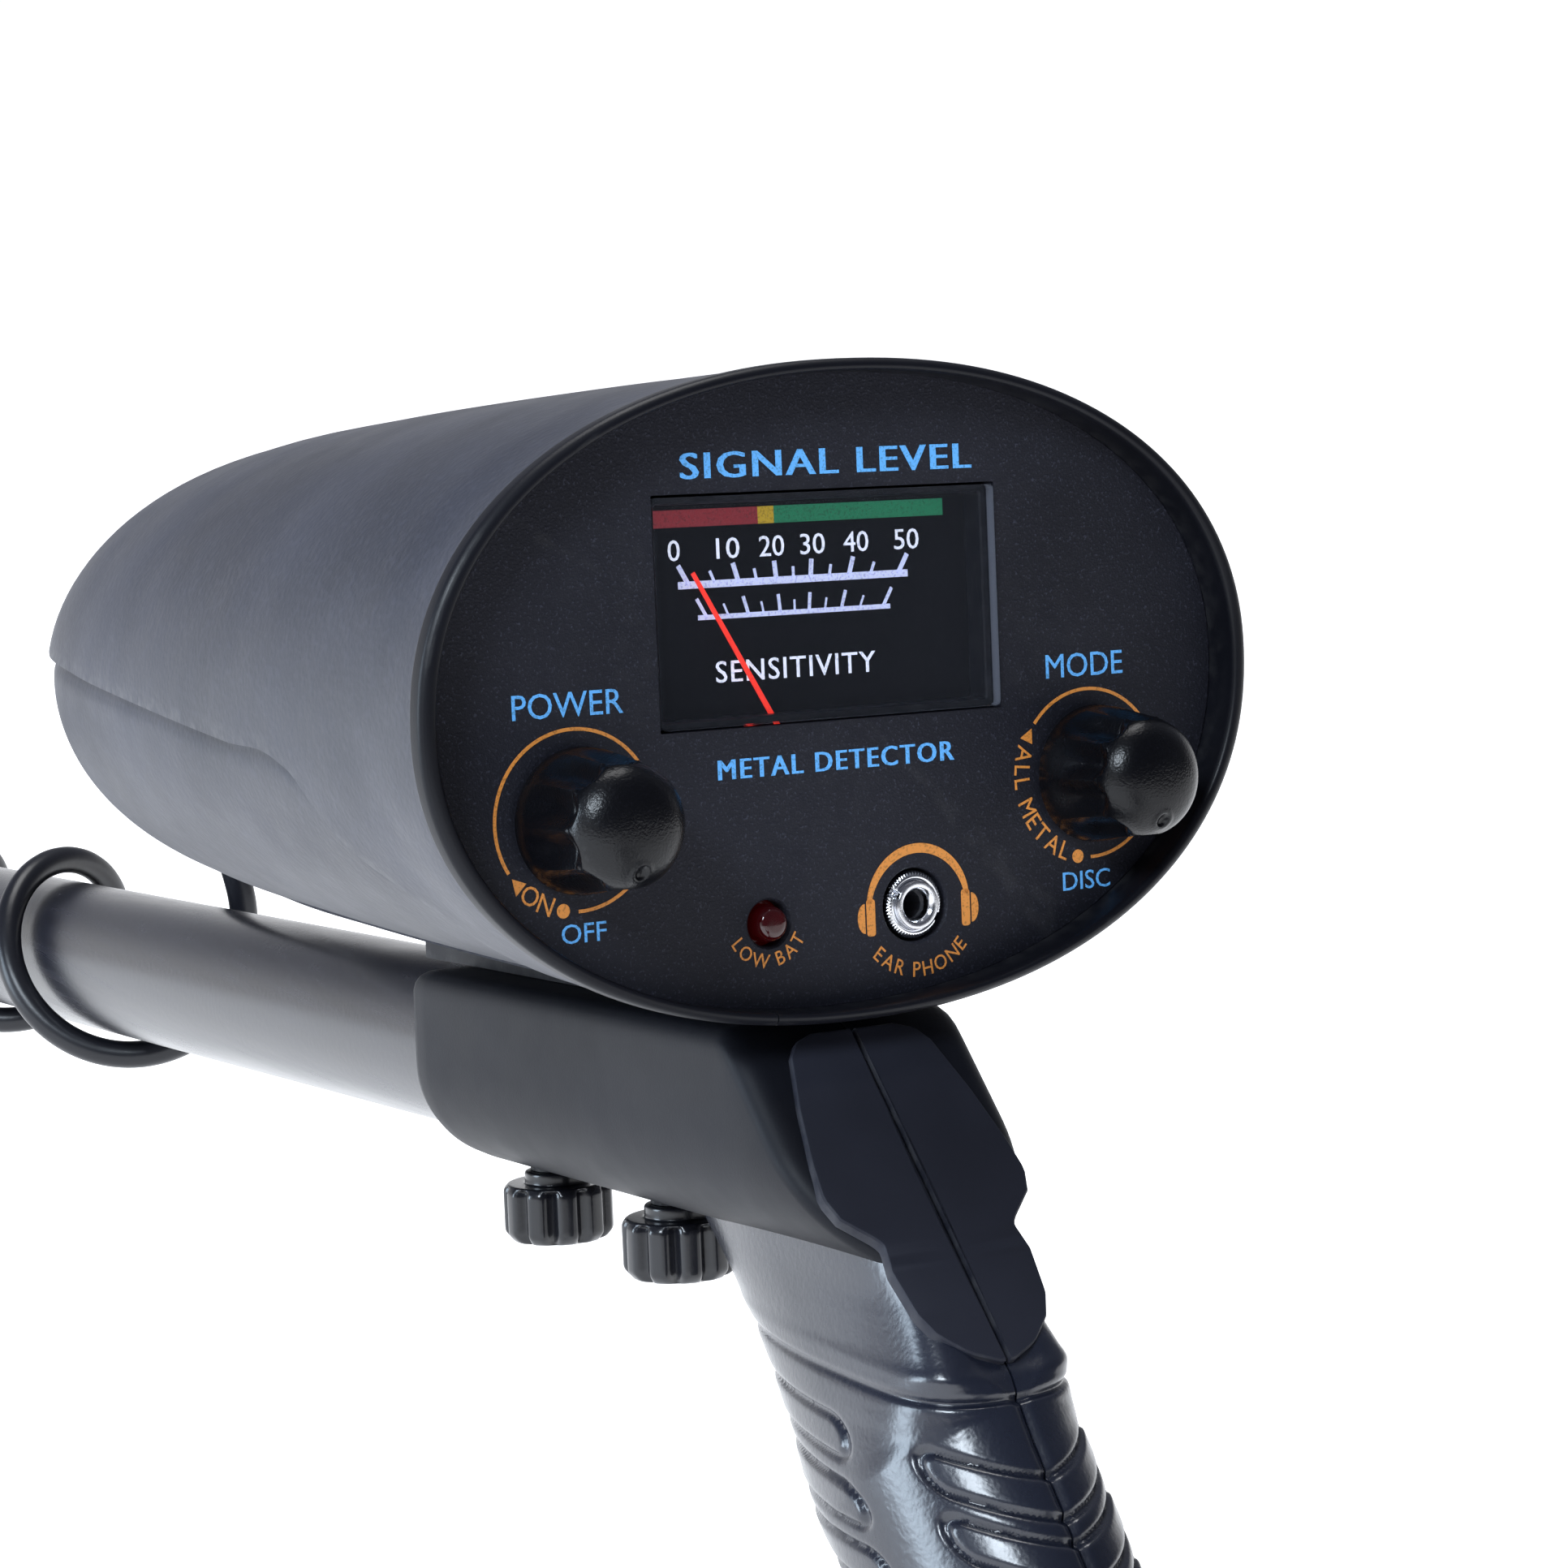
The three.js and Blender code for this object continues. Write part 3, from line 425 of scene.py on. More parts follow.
def carved(body: bpy.types.Mesh, cutters: Sequence[bpy.types.Mesh], crease: float = 32.0) -> bpy.types.Mesh:
    """A mesh with others cut out of it.

    Args:
        body: the closed mesh that is cut.
        cutters: closed meshes that take their space out of it.
        crease: the angle in degrees above which an edge stays sharp.

    Returns:
        The cut mesh.
    """
    scene = bpy.context.scene.collection
    holder = bpy.data.objects.new("holder", body)
    scene.objects.link(holder)
    tools = [bpy.data.objects.new("cutter", cutter) for cutter in cutters]
    for tool in tools:
        scene.objects.link(tool)
        step = holder.modifiers.new("cut", "BOOLEAN")
        step.object, step.operation, step.solver = tool, "DIFFERENCE", "EXACT"
    graph = bpy.context.evaluated_depsgraph_get()
    made = bpy.data.meshes.new_from_object(holder.evaluated_get(graph))
    made.name = body.name + "_cut"
    for thing in (holder, *tools):
        bpy.data.objects.remove(thing)
    return tidied(made, crease)


# ------------------------------------------------------------------ pieces


class Assembly:
    """A sub-assembly: it makes its pieces and puts each on the body it moves with."""

    body = "frame"

    def add(
        self,
        name: str,
        skin: Union[Skin, bpy.types.Mesh],
        finish: "Finish",
        replaces: Sequence[str] = (),
        body: Optional[str] = None,
        place: Place = STEM,
        crease: float = 32.0,
        slot: Optional[str] = None,
    ) -> bpy.types.Object:
        """Makes one piece.

        Args:
            name: the piece's name.
            skin: its surfaces, or a mesh already in the row frame.
            finish: what it is made of.
            replaces: the frame's nodes that it stands for.
            body: the body it moves with, or None for the assembly's own.
            place: the place its millimetres are in.
            crease: the angle in degrees above which an edge stays sharp.
            slot: the record's material slot; not used.

        Returns:
            The new object.
        """
        mesh = skin.mesh(name, place, crease) if isinstance(skin, Skin) else skin
        piece = bpy.data.objects.new(name, mesh)
        bpy.context.scene.collection.objects.link(piece)
        mesh.materials.clear()
        mesh.materials.append(finish.material())
        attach(piece, body or self.body)
        if replaces:
            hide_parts(*replaces)
        LOG.info("%s: %d faces, moves with %s", name, len(mesh.polygons), body or self.body)
        return piece

    def dress(self, node: str, finish: "Finish") -> None:
        """Gives a node of the frame its finish, and leaves its shape as it is."""
        slots = frame["nodes"][node].material_slots
        for holder in slots:
            holder.material = finish.material()
        LOG.info("%s: dressed with %s", node, finish.name)

    def build(self) -> None:
        """Makes every piece of the sub-assembly."""
        raise NotImplementedError


# ------------------------------------------------------------------ finishes


def _operator(operation: str, swapped: bool = False) -> Callable[["Value", Union["Value", float]], "Value"]:
    """The method behind an operator: one Math node, whose two values are swapped for a reflected form."""

    def applied(self: "Value", other: Union["Value", float]) -> "Value":
        """This and the other through the node."""
        return self._math(operation, *((other, self) if swapped else (self, other)))

    return applied


class Value:
    """A socket of a material's nodes, with arithmetic on it: each operation adds a Math node."""

    def __init__(self, nodes: "Nodes", socket: bpy.types.NodeSocket) -> None:
        """Wraps a socket of a material's nodes."""
        self.nodes = nodes
        self.socket = socket

    def _math(self, operation: str, *values: Union["Value", float], clamp: bool = False) -> "Value":
        """One Math node on up to three values."""
        inputs = dict(enumerate(values))
        return self.nodes.add("ShaderNodeMath", {"operation": operation, "use_clamp": clamp}, inputs)

    __add__ = __radd__ = _operator("ADD")
    __sub__, __rsub__ = _operator("SUBTRACT"), _operator("SUBTRACT", True)
    __mul__ = __rmul__ = _operator("MULTIPLY")
    __truediv__ = _operator("DIVIDE")
    __pow__ = _operator("POWER")

    def limited(self) -> "Value":
        """This kept between 0 and 1."""
        return self._math("ADD", self, 0.0, clamp=True)

    def between(self, low: float, high: float) -> "Value":
        """0 at low, 1 at high, smooth between."""
        inputs = {"Value": self, "From Min": low, "From Max": high}
        return self.nodes.add("ShaderNodeMapRange", {"interpolation_type": "SMOOTHSTEP"}, inputs)


class Nodes:
    """The nodes of one material."""

    def __init__(self, name: str) -> None:
        """Starts a material with its Principled shader."""
        self.made = bpy.data.materials.new(name)
        self.made.use_nodes = True
        self.tree = self.made.node_tree
        self.shader = self.tree.nodes["Principled BSDF"]
        self.output = self.tree.nodes["Material Output"]

    def add(
        self,
        kind: str,
        settings: Optional[Dict[str, Any]] = None,
        inputs: Optional[Dict[Union[int, str], Any]] = None,
        out: Union[int, str] = 0,
    ) -> Value:
        """Adds any node.

        Args:
            kind: the node's type.
            settings: its own settings, and "stops" for a ramp's positions and colours.
            inputs: values or links for its sockets, by name or place.
            out: which output to hand back.

        Returns:
            That output.
        """
        node = self.tree.nodes.new(kind)
        for key, setting in (settings or {}).items():
            if key == "stops":
                self._stops(node.color_ramp, setting)
            else:
                setattr(node, key, setting)
        for key, value in (inputs or {}).items():
            self.feed(node.inputs[key], value)
        return Value(self, node.outputs[out])

    @staticmethod
    def _stops(ramp: bpy.types.ColorRamp, stops: Sequence[Tuple[float, Colour]]) -> None:
        """Sets a ramp's stops."""
        while len(ramp.elements) < len(stops):
            ramp.elements.new(0.5)
        for element, (position, colour) in zip(ramp.elements, stops):
            element.position = position
            element.color = (*colour, 1.0)

    def feed(self, socket: bpy.types.NodeSocket, value: Any) -> None:
        """Links a socket to a value, or sets it where the value is a number or a colour."""
        if isinstance(value, Value):
            self.tree.links.new(value.socket, socket)
        elif isinstance(value, tuple) and socket.type == "RGBA":
            socket.default_value = (*value, 1.0)[:4]
        else:
            socket.default_value = value

    def place(self) -> Value:
        """The point's own place on its object, in metres."""
        return self.add("ShaderNodeTexCoord", out="Object")

    def noise(self, size_mm: float, detail: float = 2.0, rough: float = 0.5,
              where: Optional[Value] = None) -> Value:
        """Soft noise from 0 to 1 whose lumps are size_mm across."""
        inputs = {"Vector": where or self.place(), "Scale": 1000.0 / size_mm, "Detail": detail,
                  "Roughness": rough}
        return self.add("ShaderNodeTexNoise", {"noise_dimensions": "3D"}, inputs)

    def cells(self, size_mm: float, feature: str = "F1", out: str = "Distance") -> Value:
        """Distance to the middle of the nearest of many scattered cells, each size_mm across."""
        inputs = {"Vector": self.place(), "Scale": 1000.0 / size_mm}
        return self.add("ShaderNodeTexVoronoi", {"feature": feature}, inputs, out)

    def blend(self, share: Union[Value, float], one: Union[Value, Colour],
              other: Union[Value, Colour]) -> Value:
        """A colour from one, at share 0, to the other, at share 1."""
        return self.add("ShaderNodeMix", {"data_type": "RGBA"}, {0: share, 6: one, 7: other}, 2)

    def bump(self, height: Value, depth_mm: float, strength: float = 1.0,
             under: Optional[Value] = None) -> Value:
        """A normal tilted by a height from 0 to 1 that stands for depth_mm."""
        inputs: Dict[Union[int, str], Any] = {"Height": height, "Distance": depth_mm / 1000.0,
                                              "Strength": strength}
        if under is not None:
            inputs["Normal"] = under
        return self.add("ShaderNodeBump", None, inputs, "Normal")

    def set(self, **values: Any) -> None:
        """Sets or links the shader's sockets, named with underscores for spaces."""
        for key, value in values.items():
            self.feed(self.shader.inputs[key.replace("_", " ")], value)


MADE: Dict[str, bpy.types.Material] = {}


@dataclass(frozen=True)
class Finish:
    """What a piece's surface is made of."""

    name: str
    slot: str
    colour: Colour
    roughness: float = 0.5

    def material(self) -> bpy.types.Material:
        """The finish's material, made the first time it is asked for."""
        if self.name not in MADE:
            nodes = Nodes(self.name)
            self.paint(nodes)
            MADE[self.name] = nodes.made
        return MADE[self.name]

    def paint(self, nodes: Nodes) -> None:
        """Sets up the material's nodes."""
        raise NotImplementedError


@dataclass(frozen=True)
class Moulded(Finish):
    """Moulded plastic or rubber: a textured grain, faint flow marks, and edges polished by handling.

    grain is the grain's size and depth its height, in millimetres; a painted highlight lightens the tips of
    the grain, by the glint share and towards the glint colour;
    worn is how much exposed edges lighten; leather chooses the branching grain of a textured tool.
    """

    grain: float = 0.4
    depth: float = 0.03
    # Share of a painted highlight on the grain's raised tips, whose colour is the last field.
    painted_glint: float = 0.0
    worn: float = 0.25
    leather: bool = False
    coat: float = 0.0
    specular: float = 0.5
    glint_colour: Colour = (0.3, 0.3, 0.36)

    def paint(self, nodes: Nodes) -> None:
        """Colour from flow marks, a painted highlight on the grain tips and worn edges; roughness from
        smudges; grain as bump.
        """
        tips = nodes.noise(self.grain, 1.5, 0.6)
        if self.leather:
            pits = nodes.cells(self.grain * 1.7, "SMOOTH_F1")
            tips = tips * 0.45 + pits * 0.75
        flow = nodes.noise(38.0, 3.0, 0.55)
        smudge = nodes.noise(11.0, 4.0, 0.6)
        edge = nodes.add("ShaderNodeNewGeometry", out="Pointiness").between(0.52, 0.60)
        dark = tuple(0.82 * part for part in self.colour)
        light = tuple(min(1.0, 1.22 * part + 0.002) for part in self.colour)
        body = nodes.blend(flow.between(0.3, 0.7), dark, light)
        # Painted highlight: the raised tips of the grain are lightened towards a lighter colour, as glints.
        body = nodes.blend(tips.between(0.56, 0.78) * self.painted_glint, body, self.glint_colour)
        worn = edge * nodes.noise(2.5, 3.0).between(0.35, 0.7) * self.worn
        bare = tuple(0.5 * part + 0.09 for part in self.colour)
        body = nodes.blend(worn.limited(), body, bare)
        rough = smudge * 0.16 + (self.roughness - 0.08) - worn * 0.2
        fine = nodes.bump(tips, self.depth)
        nodes.set(Base_Color=body, Roughness=rough.limited(), Normal=nodes.bump(flow, 0.12, 0.35, fine))
        nodes.set(Coat_Weight=self.coat, Coat_Roughness=0.12, Specular_IOR_Level=self.specular)


@dataclass(frozen=True)
class Coated(Finish):
    """A powder-coated tube: a fine orange peel with faint rubbing along its length."""

    peel: float = 0.9

    def paint(self, nodes: Nodes) -> None:
        """Colour with faint rubbed streaks along Y, roughness from the streaks, orange peel as bump."""
        along = nodes.add("ShaderNodeMapping", None, {"Vector": nodes.place(), "Scale": (1.0, 0.03, 1.0)})
        streak = nodes.noise(1.6, 3.0, 0.6, along)
        cloud = nodes.noise(45.0, 3.0)
        dark = tuple(0.8 * part for part in self.colour)
        light = tuple(1.35 * part + 0.003 for part in self.colour)
        body = nodes.blend((streak * 0.5 + cloud * 0.5).between(0.35, 0.65), dark, light)
        rough = streak * 0.12 + cloud * 0.08 + (self.roughness - 0.1)
        fine = nodes.bump(nodes.noise(self.peel, 2.0), 0.018)
        nodes.set(Base_Color=body, Roughness=rough.limited(), Metallic=0.0, Normal=fine)
        nodes.set(Coat_Weight=0.25, Coat_Roughness=0.22, Specular_IOR_Level=0.6)


@dataclass(frozen=True)
class Plated(Finish):
    """Bare or plated metal, finely brushed or polished."""

    tarnish: Colour = (0.35, 0.33, 0.3)
    brush: float = 0.25

    def paint(self, nodes: Nodes) -> None:
        """Metal with patches of tarnish, fine scratches in roughness and bump."""
        cloud = nodes.noise(5.0, 4.0, 0.6)
        scratch = nodes.noise(self.brush, 3.0, 0.7)
        body = nodes.blend(cloud.between(0.55, 0.8) * 0.6, self.colour, self.tarnish)
        rough = cloud * 0.12 + scratch * 0.1 + (self.roughness - 0.1)
        nodes.set(Base_Color=body, Metallic=1.0, Roughness=rough.limited(), Normal=nodes.bump(scratch, 0.006))


@dataclass(frozen=True)
class Ink(Finish):
    """Screen-printed ink, slightly uneven where it sits on a grained panel, with a painted glow: an emission
    in its own colour that brightens it.
    """

    # Strength of the painted glow, an emission in the ink's own colour.
    painted_glow: float = 0.0

    def paint(self, nodes: Nodes) -> None:
        """Colour broken by the panel's grain, with a matte surface, a fine bump and a painted glow in its own
        colour where one is given.
        """
        grain = nodes.noise(0.32, 2.0, 0.6)
        thin = tuple(0.62 * part for part in self.colour)
        body = nodes.blend(grain.between(0.34, 0.5), thin, self.colour)
        nodes.set(Base_Color=body, Roughness=grain * 0.2 + (self.roughness - 0.1),
                  Normal=nodes.bump(grain, 0.02))
        # Painted light: the ink emits its own colour, so it glows brighter than the lamps alone make it.
        if self.painted_glow > 0.0:
            nodes.set(Emission_Color=body, Emission_Strength=self.painted_glow)


@dataclass(frozen=True)
class Clear(Finish):
    """A clear moulded cover: see-through face on, bright where it mirrors the room, with a few hair
    scratches."""

    def paint(self, nodes: Nodes) -> None:
        """A transparent shader mixed with a glossy one by Fresnel and by scratches."""
        scratch = nodes.noise(0.5, 4.0, 0.75).between(0.66, 0.74)
        smear = nodes.noise(9.0, 3.0).between(0.4, 0.75)
        nodes.set(Base_Color=self.colour, Roughness=smear * 0.07 + self.roughness, Specular_IOR_Level=0.6)
        mirror = nodes.add("ShaderNodeFresnel", None, {"IOR": 1.46})
        through = nodes.add("ShaderNodeBsdfTransparent", None, {"Color": (0.97, 0.98, 1.0)})
        share = (mirror * 0.55 + scratch * 0.012).limited()
        shader = Value(nodes, nodes.shader.outputs[0])
        mixed = nodes.add("ShaderNodeMixShader", None, {0: share, 1: through, 2: shader})
        nodes.feed(nodes.output.inputs["Surface"], mixed)


@dataclass(frozen=True)
class Lens(Finish):
    """A tinted translucent lamp lens, deeper in colour at its rim."""

    def paint(self, nodes: Nodes) -> None:
        """Glossy deep colour, brighter in soft patches, with a clear coat."""
        depth = nodes.noise(1.8, 2.0).between(0.3, 0.7)
        rim = nodes.add("ShaderNodeLayerWeight", None, {"Blend": 0.35}, "Facing")
        body = nodes.blend((depth * 0.4 + rim * 0.6).limited(), self.colour,
                           tuple(0.25 * c for c in self.colour))
        nodes.set(Base_Color=body, Roughness=depth * 0.05 + self.roughness, Coat_Weight=0.35,
                  Coat_Roughness=0.03)
        nodes.set(Normal=nodes.bump(nodes.noise(0.6), 0.004), Emission_Color=(0.5, 0.01, 0.01),
                  Emission_Strength=0.02)


@dataclass(frozen=True)
class Foam(Finish):
    """Closed-cell foam with open pores and a faint nap."""

    pore: float = 0.9

    def paint(self, nodes: Nodes) -> None:
        """The pores are darkened with painted shade and dent the surface; noise gives the nap."""
        pores = nodes.cells(self.pore).between(0.1, 0.45)
        nap = nodes.noise(0.35, 3.0, 0.7)
        cloud = nodes.noise(24.0, 3.0)
        # Painted shade: the colour darkens in the pores, where shade falls, and at random with the cloud
        # noise.
        dark = tuple(0.45 * part for part in self.colour)
        body = nodes.blend((pores * 0.7 + cloud * 0.3).limited(), dark, self.colour)
        rough = nap * 0.12 + (self.roughness - 0.06)
        nodes.set(Base_Color=body, Roughness=rough.limited())
        nodes.set(Normal=nodes.bump(nap, 0.06, 0.7, nodes.bump(pores, 0.22)), Specular_IOR_Level=0.2)


@dataclass(frozen=True)
class Wound(Finish):
    """Enamelled wire laid in rings: fine ridges round the middle of its object."""

    pitch: float = 0.5

    def paint(self, nodes: Nodes) -> None:
        """Ridges from a wave in rings, with painted shade in the grooves between turns and a random tone from
        noise.
        """
        inputs = {"Vector": nodes.place(), "Scale": 1000.0 / self.pitch / 6.28, "Distortion": 0.4}
        rings = nodes.add("ShaderNodeTexWave", {"wave_type": "BANDS", "bands_direction": "Z"}, inputs, 1)
        shade = nodes.noise(3.0, 3.0)
        # Painted shade: the colour darkens in the grooves between turns, where the wave is low, and at random
        # with the noise.
        body = nodes.blend((rings * 0.5 + shade * 0.5).limited(), tuple(0.4 * c for c in self.colour),
                           self.colour)
        nodes.set(Base_Color=body, Metallic=0.85, Roughness=shade * 0.2 + self.roughness - 0.1)
        nodes.set(Normal=nodes.bump(rings, 0.12))


@dataclass(frozen=True)
class Board(Finish):
    """A circuit board: green mask over tracks, with tinned pads."""

    def paint(self, nodes: Nodes) -> None:
        """Tracks from square cells, pads from the middles of cells, and the mask's gloss."""
        track = nodes.add(
            "ShaderNodeTexVoronoi",
            {"distance": "CHEBYCHEV"},
            {"Vector": nodes.place(), "Scale": 320.0},
        )
        line = track.between(0.42, 0.46)
        pad = 1.0 - track.between(0.10, 0.14)
        body = nodes.blend(line, self.colour, tuple(1.8 * c + 0.01 for c in self.colour))
        body = nodes.blend(pad.limited(), body, (0.55, 0.55, 0.52))
        nodes.set(Base_Color=body, Roughness=pad * 0.1 + self.roughness, Metallic=pad * 0.8)
        nodes.set(Normal=nodes.bump(line, 0.03))


CASE = Moulded("case_grain", "case_plastic", (0.021, 0.0235, 0.036), 0.46, grain=0.55, depth=0.05,
               leather=True,
               painted_glint=0.08, worn=0.25, specular=0.42, glint_colour=(0.10, 0.105, 0.15))
RIM = Moulded("rim_charcoal", "moulded_black", (0.0035, 0.0038, 0.0065), 0.40, grain=0.25, depth=0.010,
              worn=0.15,
              specular=0.2)
PANEL = Moulded("panel_granular", "panel_plastic", (0.0090, 0.0094, 0.0150), 0.62, grain=0.34, depth=0.10,
                painted_glint=0.40, worn=0.1, glint_colour=(0.075, 0.08, 0.115), specular=0.22)
MATTE = Moulded("sleeve_charcoal", "moulded_black", (0.0040, 0.0046, 0.0078), 0.50, grain=0.35, depth=0.014,
                worn=0.25,
                specular=0.17)
PAD = Moulded("pad_charcoal", "moulded_black", (0.0130, 0.0142, 0.0225), 0.58, grain=0.3, depth=0.012,
              worn=0.3,
              specular=0.2)
GRIP = Moulded("grip_orange_peel", "gloss_black", (0.0065, 0.0085, 0.017), 0.27, grain=0.9, depth=0.05,
               worn=0.2,
               coat=0.2, specular=0.6)
KNOB = Moulded("knob_grain", "gloss_black", (0.0016, 0.0018, 0.0030), 0.27, grain=0.34, depth=0.05,
               painted_glint=0.06,
               worn=0.1, glint_colour=(0.05, 0.05, 0.075), specular=0.28)
SCREW = Moulded("screw_gloss", "gloss_black", (0.0045, 0.0048, 0.0075), 0.24, grain=0.8, depth=0.012,
                coat=0.2,
                specular=0.4)
FITTING = Moulded("fitting_black", "moulded_black", (0.013, 0.0135, 0.018), 0.45, grain=0.4, depth=0.03,
                  worn=0.4,
                  specular=0.32)
COIL_SKIN = Moulded("coil_black", "moulded_black", (0.016, 0.0168, 0.022), 0.44, grain=0.5, depth=0.04,
                    leather=True,
                    worn=0.45, specular=0.36)
RUBBER = Moulded("rubber_black", "rubber", (0.010, 0.010, 0.012), 0.70, grain=0.5, depth=0.03, worn=0.5,
                 specular=0.2)
JACKET = Moulded("lead_jacket", "lead_jacket", (0.006, 0.0065, 0.010), 0.32, grain=1.4, depth=0.02, worn=0.1,
                 specular=0.4)
TIE = Moulded("tie_nylon", "moulded_black", (0.008, 0.008, 0.011), 0.42, grain=0.3, depth=0.01, specular=0.3)
TUBE = Coated("tube_satin", "coated_tube", (0.007, 0.0075, 0.013), 0.26)
CHROME = Plated("nickel_plate", "plated", (0.80, 0.81, 0.84), 0.14)
STEEL = Plated("zinc_steel", "steel", (0.50, 0.51, 0.53), 0.36)
# The last number of each ink below is the strength of its painted glow, an emission that brightens the print.
SKY_INK = Ink("sky_blue_ink", "panel_plastic", (0.10, 0.37, 0.78), 0.55, 0.22)
ORANGE_INK = Ink("orange_ink", "panel_plastic", (0.66, 0.25, 0.045), 0.55, 0.10)
WHITE_INK = Ink("dial_white", "dial_face", (0.74, 0.77, 0.88), 0.6, 0.75)
LILAC_INK = Ink("dial_lilac", "dial_face", (0.56, 0.60, 0.84), 0.6, 0.6)
RED_BAND = Ink("dial_red", "dial_face", (0.22, 0.016, 0.022), 0.6, 0.5)
YELLOW_BAND = Ink("dial_yellow", "dial_face", (0.46, 0.30, 0.014), 0.6, 0.5)
GREEN_BAND = Ink("dial_green", "dial_face", (0.008, 0.17, 0.075), 0.6, 0.5)
NEEDLE_RED = Ink("needle_red", "needle_paint", (0.90, 0.03, 0.015), 0.45, 0.9)
DIAL = Moulded("dial_black", "dial_face", (0.0016, 0.0016, 0.0026), 0.8, grain=0.3, depth=0.004, worn=0.0,
               specular=0.05)
GLASS = Clear("clear_cover", "clear_window", (0.3, 0.32, 0.38), 0.03)
LAMP_RED = Lens("lamp_lens", "lamp_red", (0.035, 0.0012, 0.0025), 0.06)
FOAM = Foam("liner_foam", "foam", (0.026, 0.026, 0.030), 0.92)
COPPER = Wound("copper_winding", "copper", (0.55, 0.22, 0.09), 0.35)
BOARD = Board("board_mask", "board", (0.012, 0.085, 0.035), 0.3)
CELL = Moulded("cell_wrap", "cell", (0.055, 0.065, 0.085), 0.35, grain=2.0, depth=0.01, coat=0.3)


# ------------------------------------------------------------------ lettering


class Side(Enum):
    """Left is -1 along X, right is 1."""

    LEFT = -1
    RIGHT = 1


def letters(words: str, spacing: float = 1.0) -> Tuple[Array, Array]:
    """Lettering one unit high, as flat solids 0.07 deep.

    Args:
        words: the text.
        spacing: the letters' spacing, 1 as drawn.

    Returns:
        Points as (x, y, depth) from the left end of the baseline, and triangles.
    """
    curve = bpy.data.curves.new("lettering", "FONT")
    curve.body, curve.space_character = words, spacing
    curve.extrude, curve.resolution_u = 0.5, 3
    writer = bpy.data.objects.new("lettering", curve)
    bpy.context.scene.collection.objects.link(writer)
    graph = bpy.context.evaluated_depsgraph_get()
    mesh = bpy.data.meshes.new_from_object(writer.evaluated_get(graph))
    bpy.data.objects.remove(writer)
    mesh.calc_loop_triangles()
    points = np.zeros(len(mesh.vertices) * 3)
    mesh.vertices.foreach_get("co", points)
    triangles = np.zeros(len(mesh.loop_triangles) * 3, int)
    mesh.loop_triangles.foreach_get("vertices", triangles)
    points = points.reshape(-1, 3)
    low, high = points.min(axis=0), points.max(axis=0)
    points[:, 0] -= low[0]
    points[:, :2] /= high[1]
    return points, triangles.reshape(-1, 3)


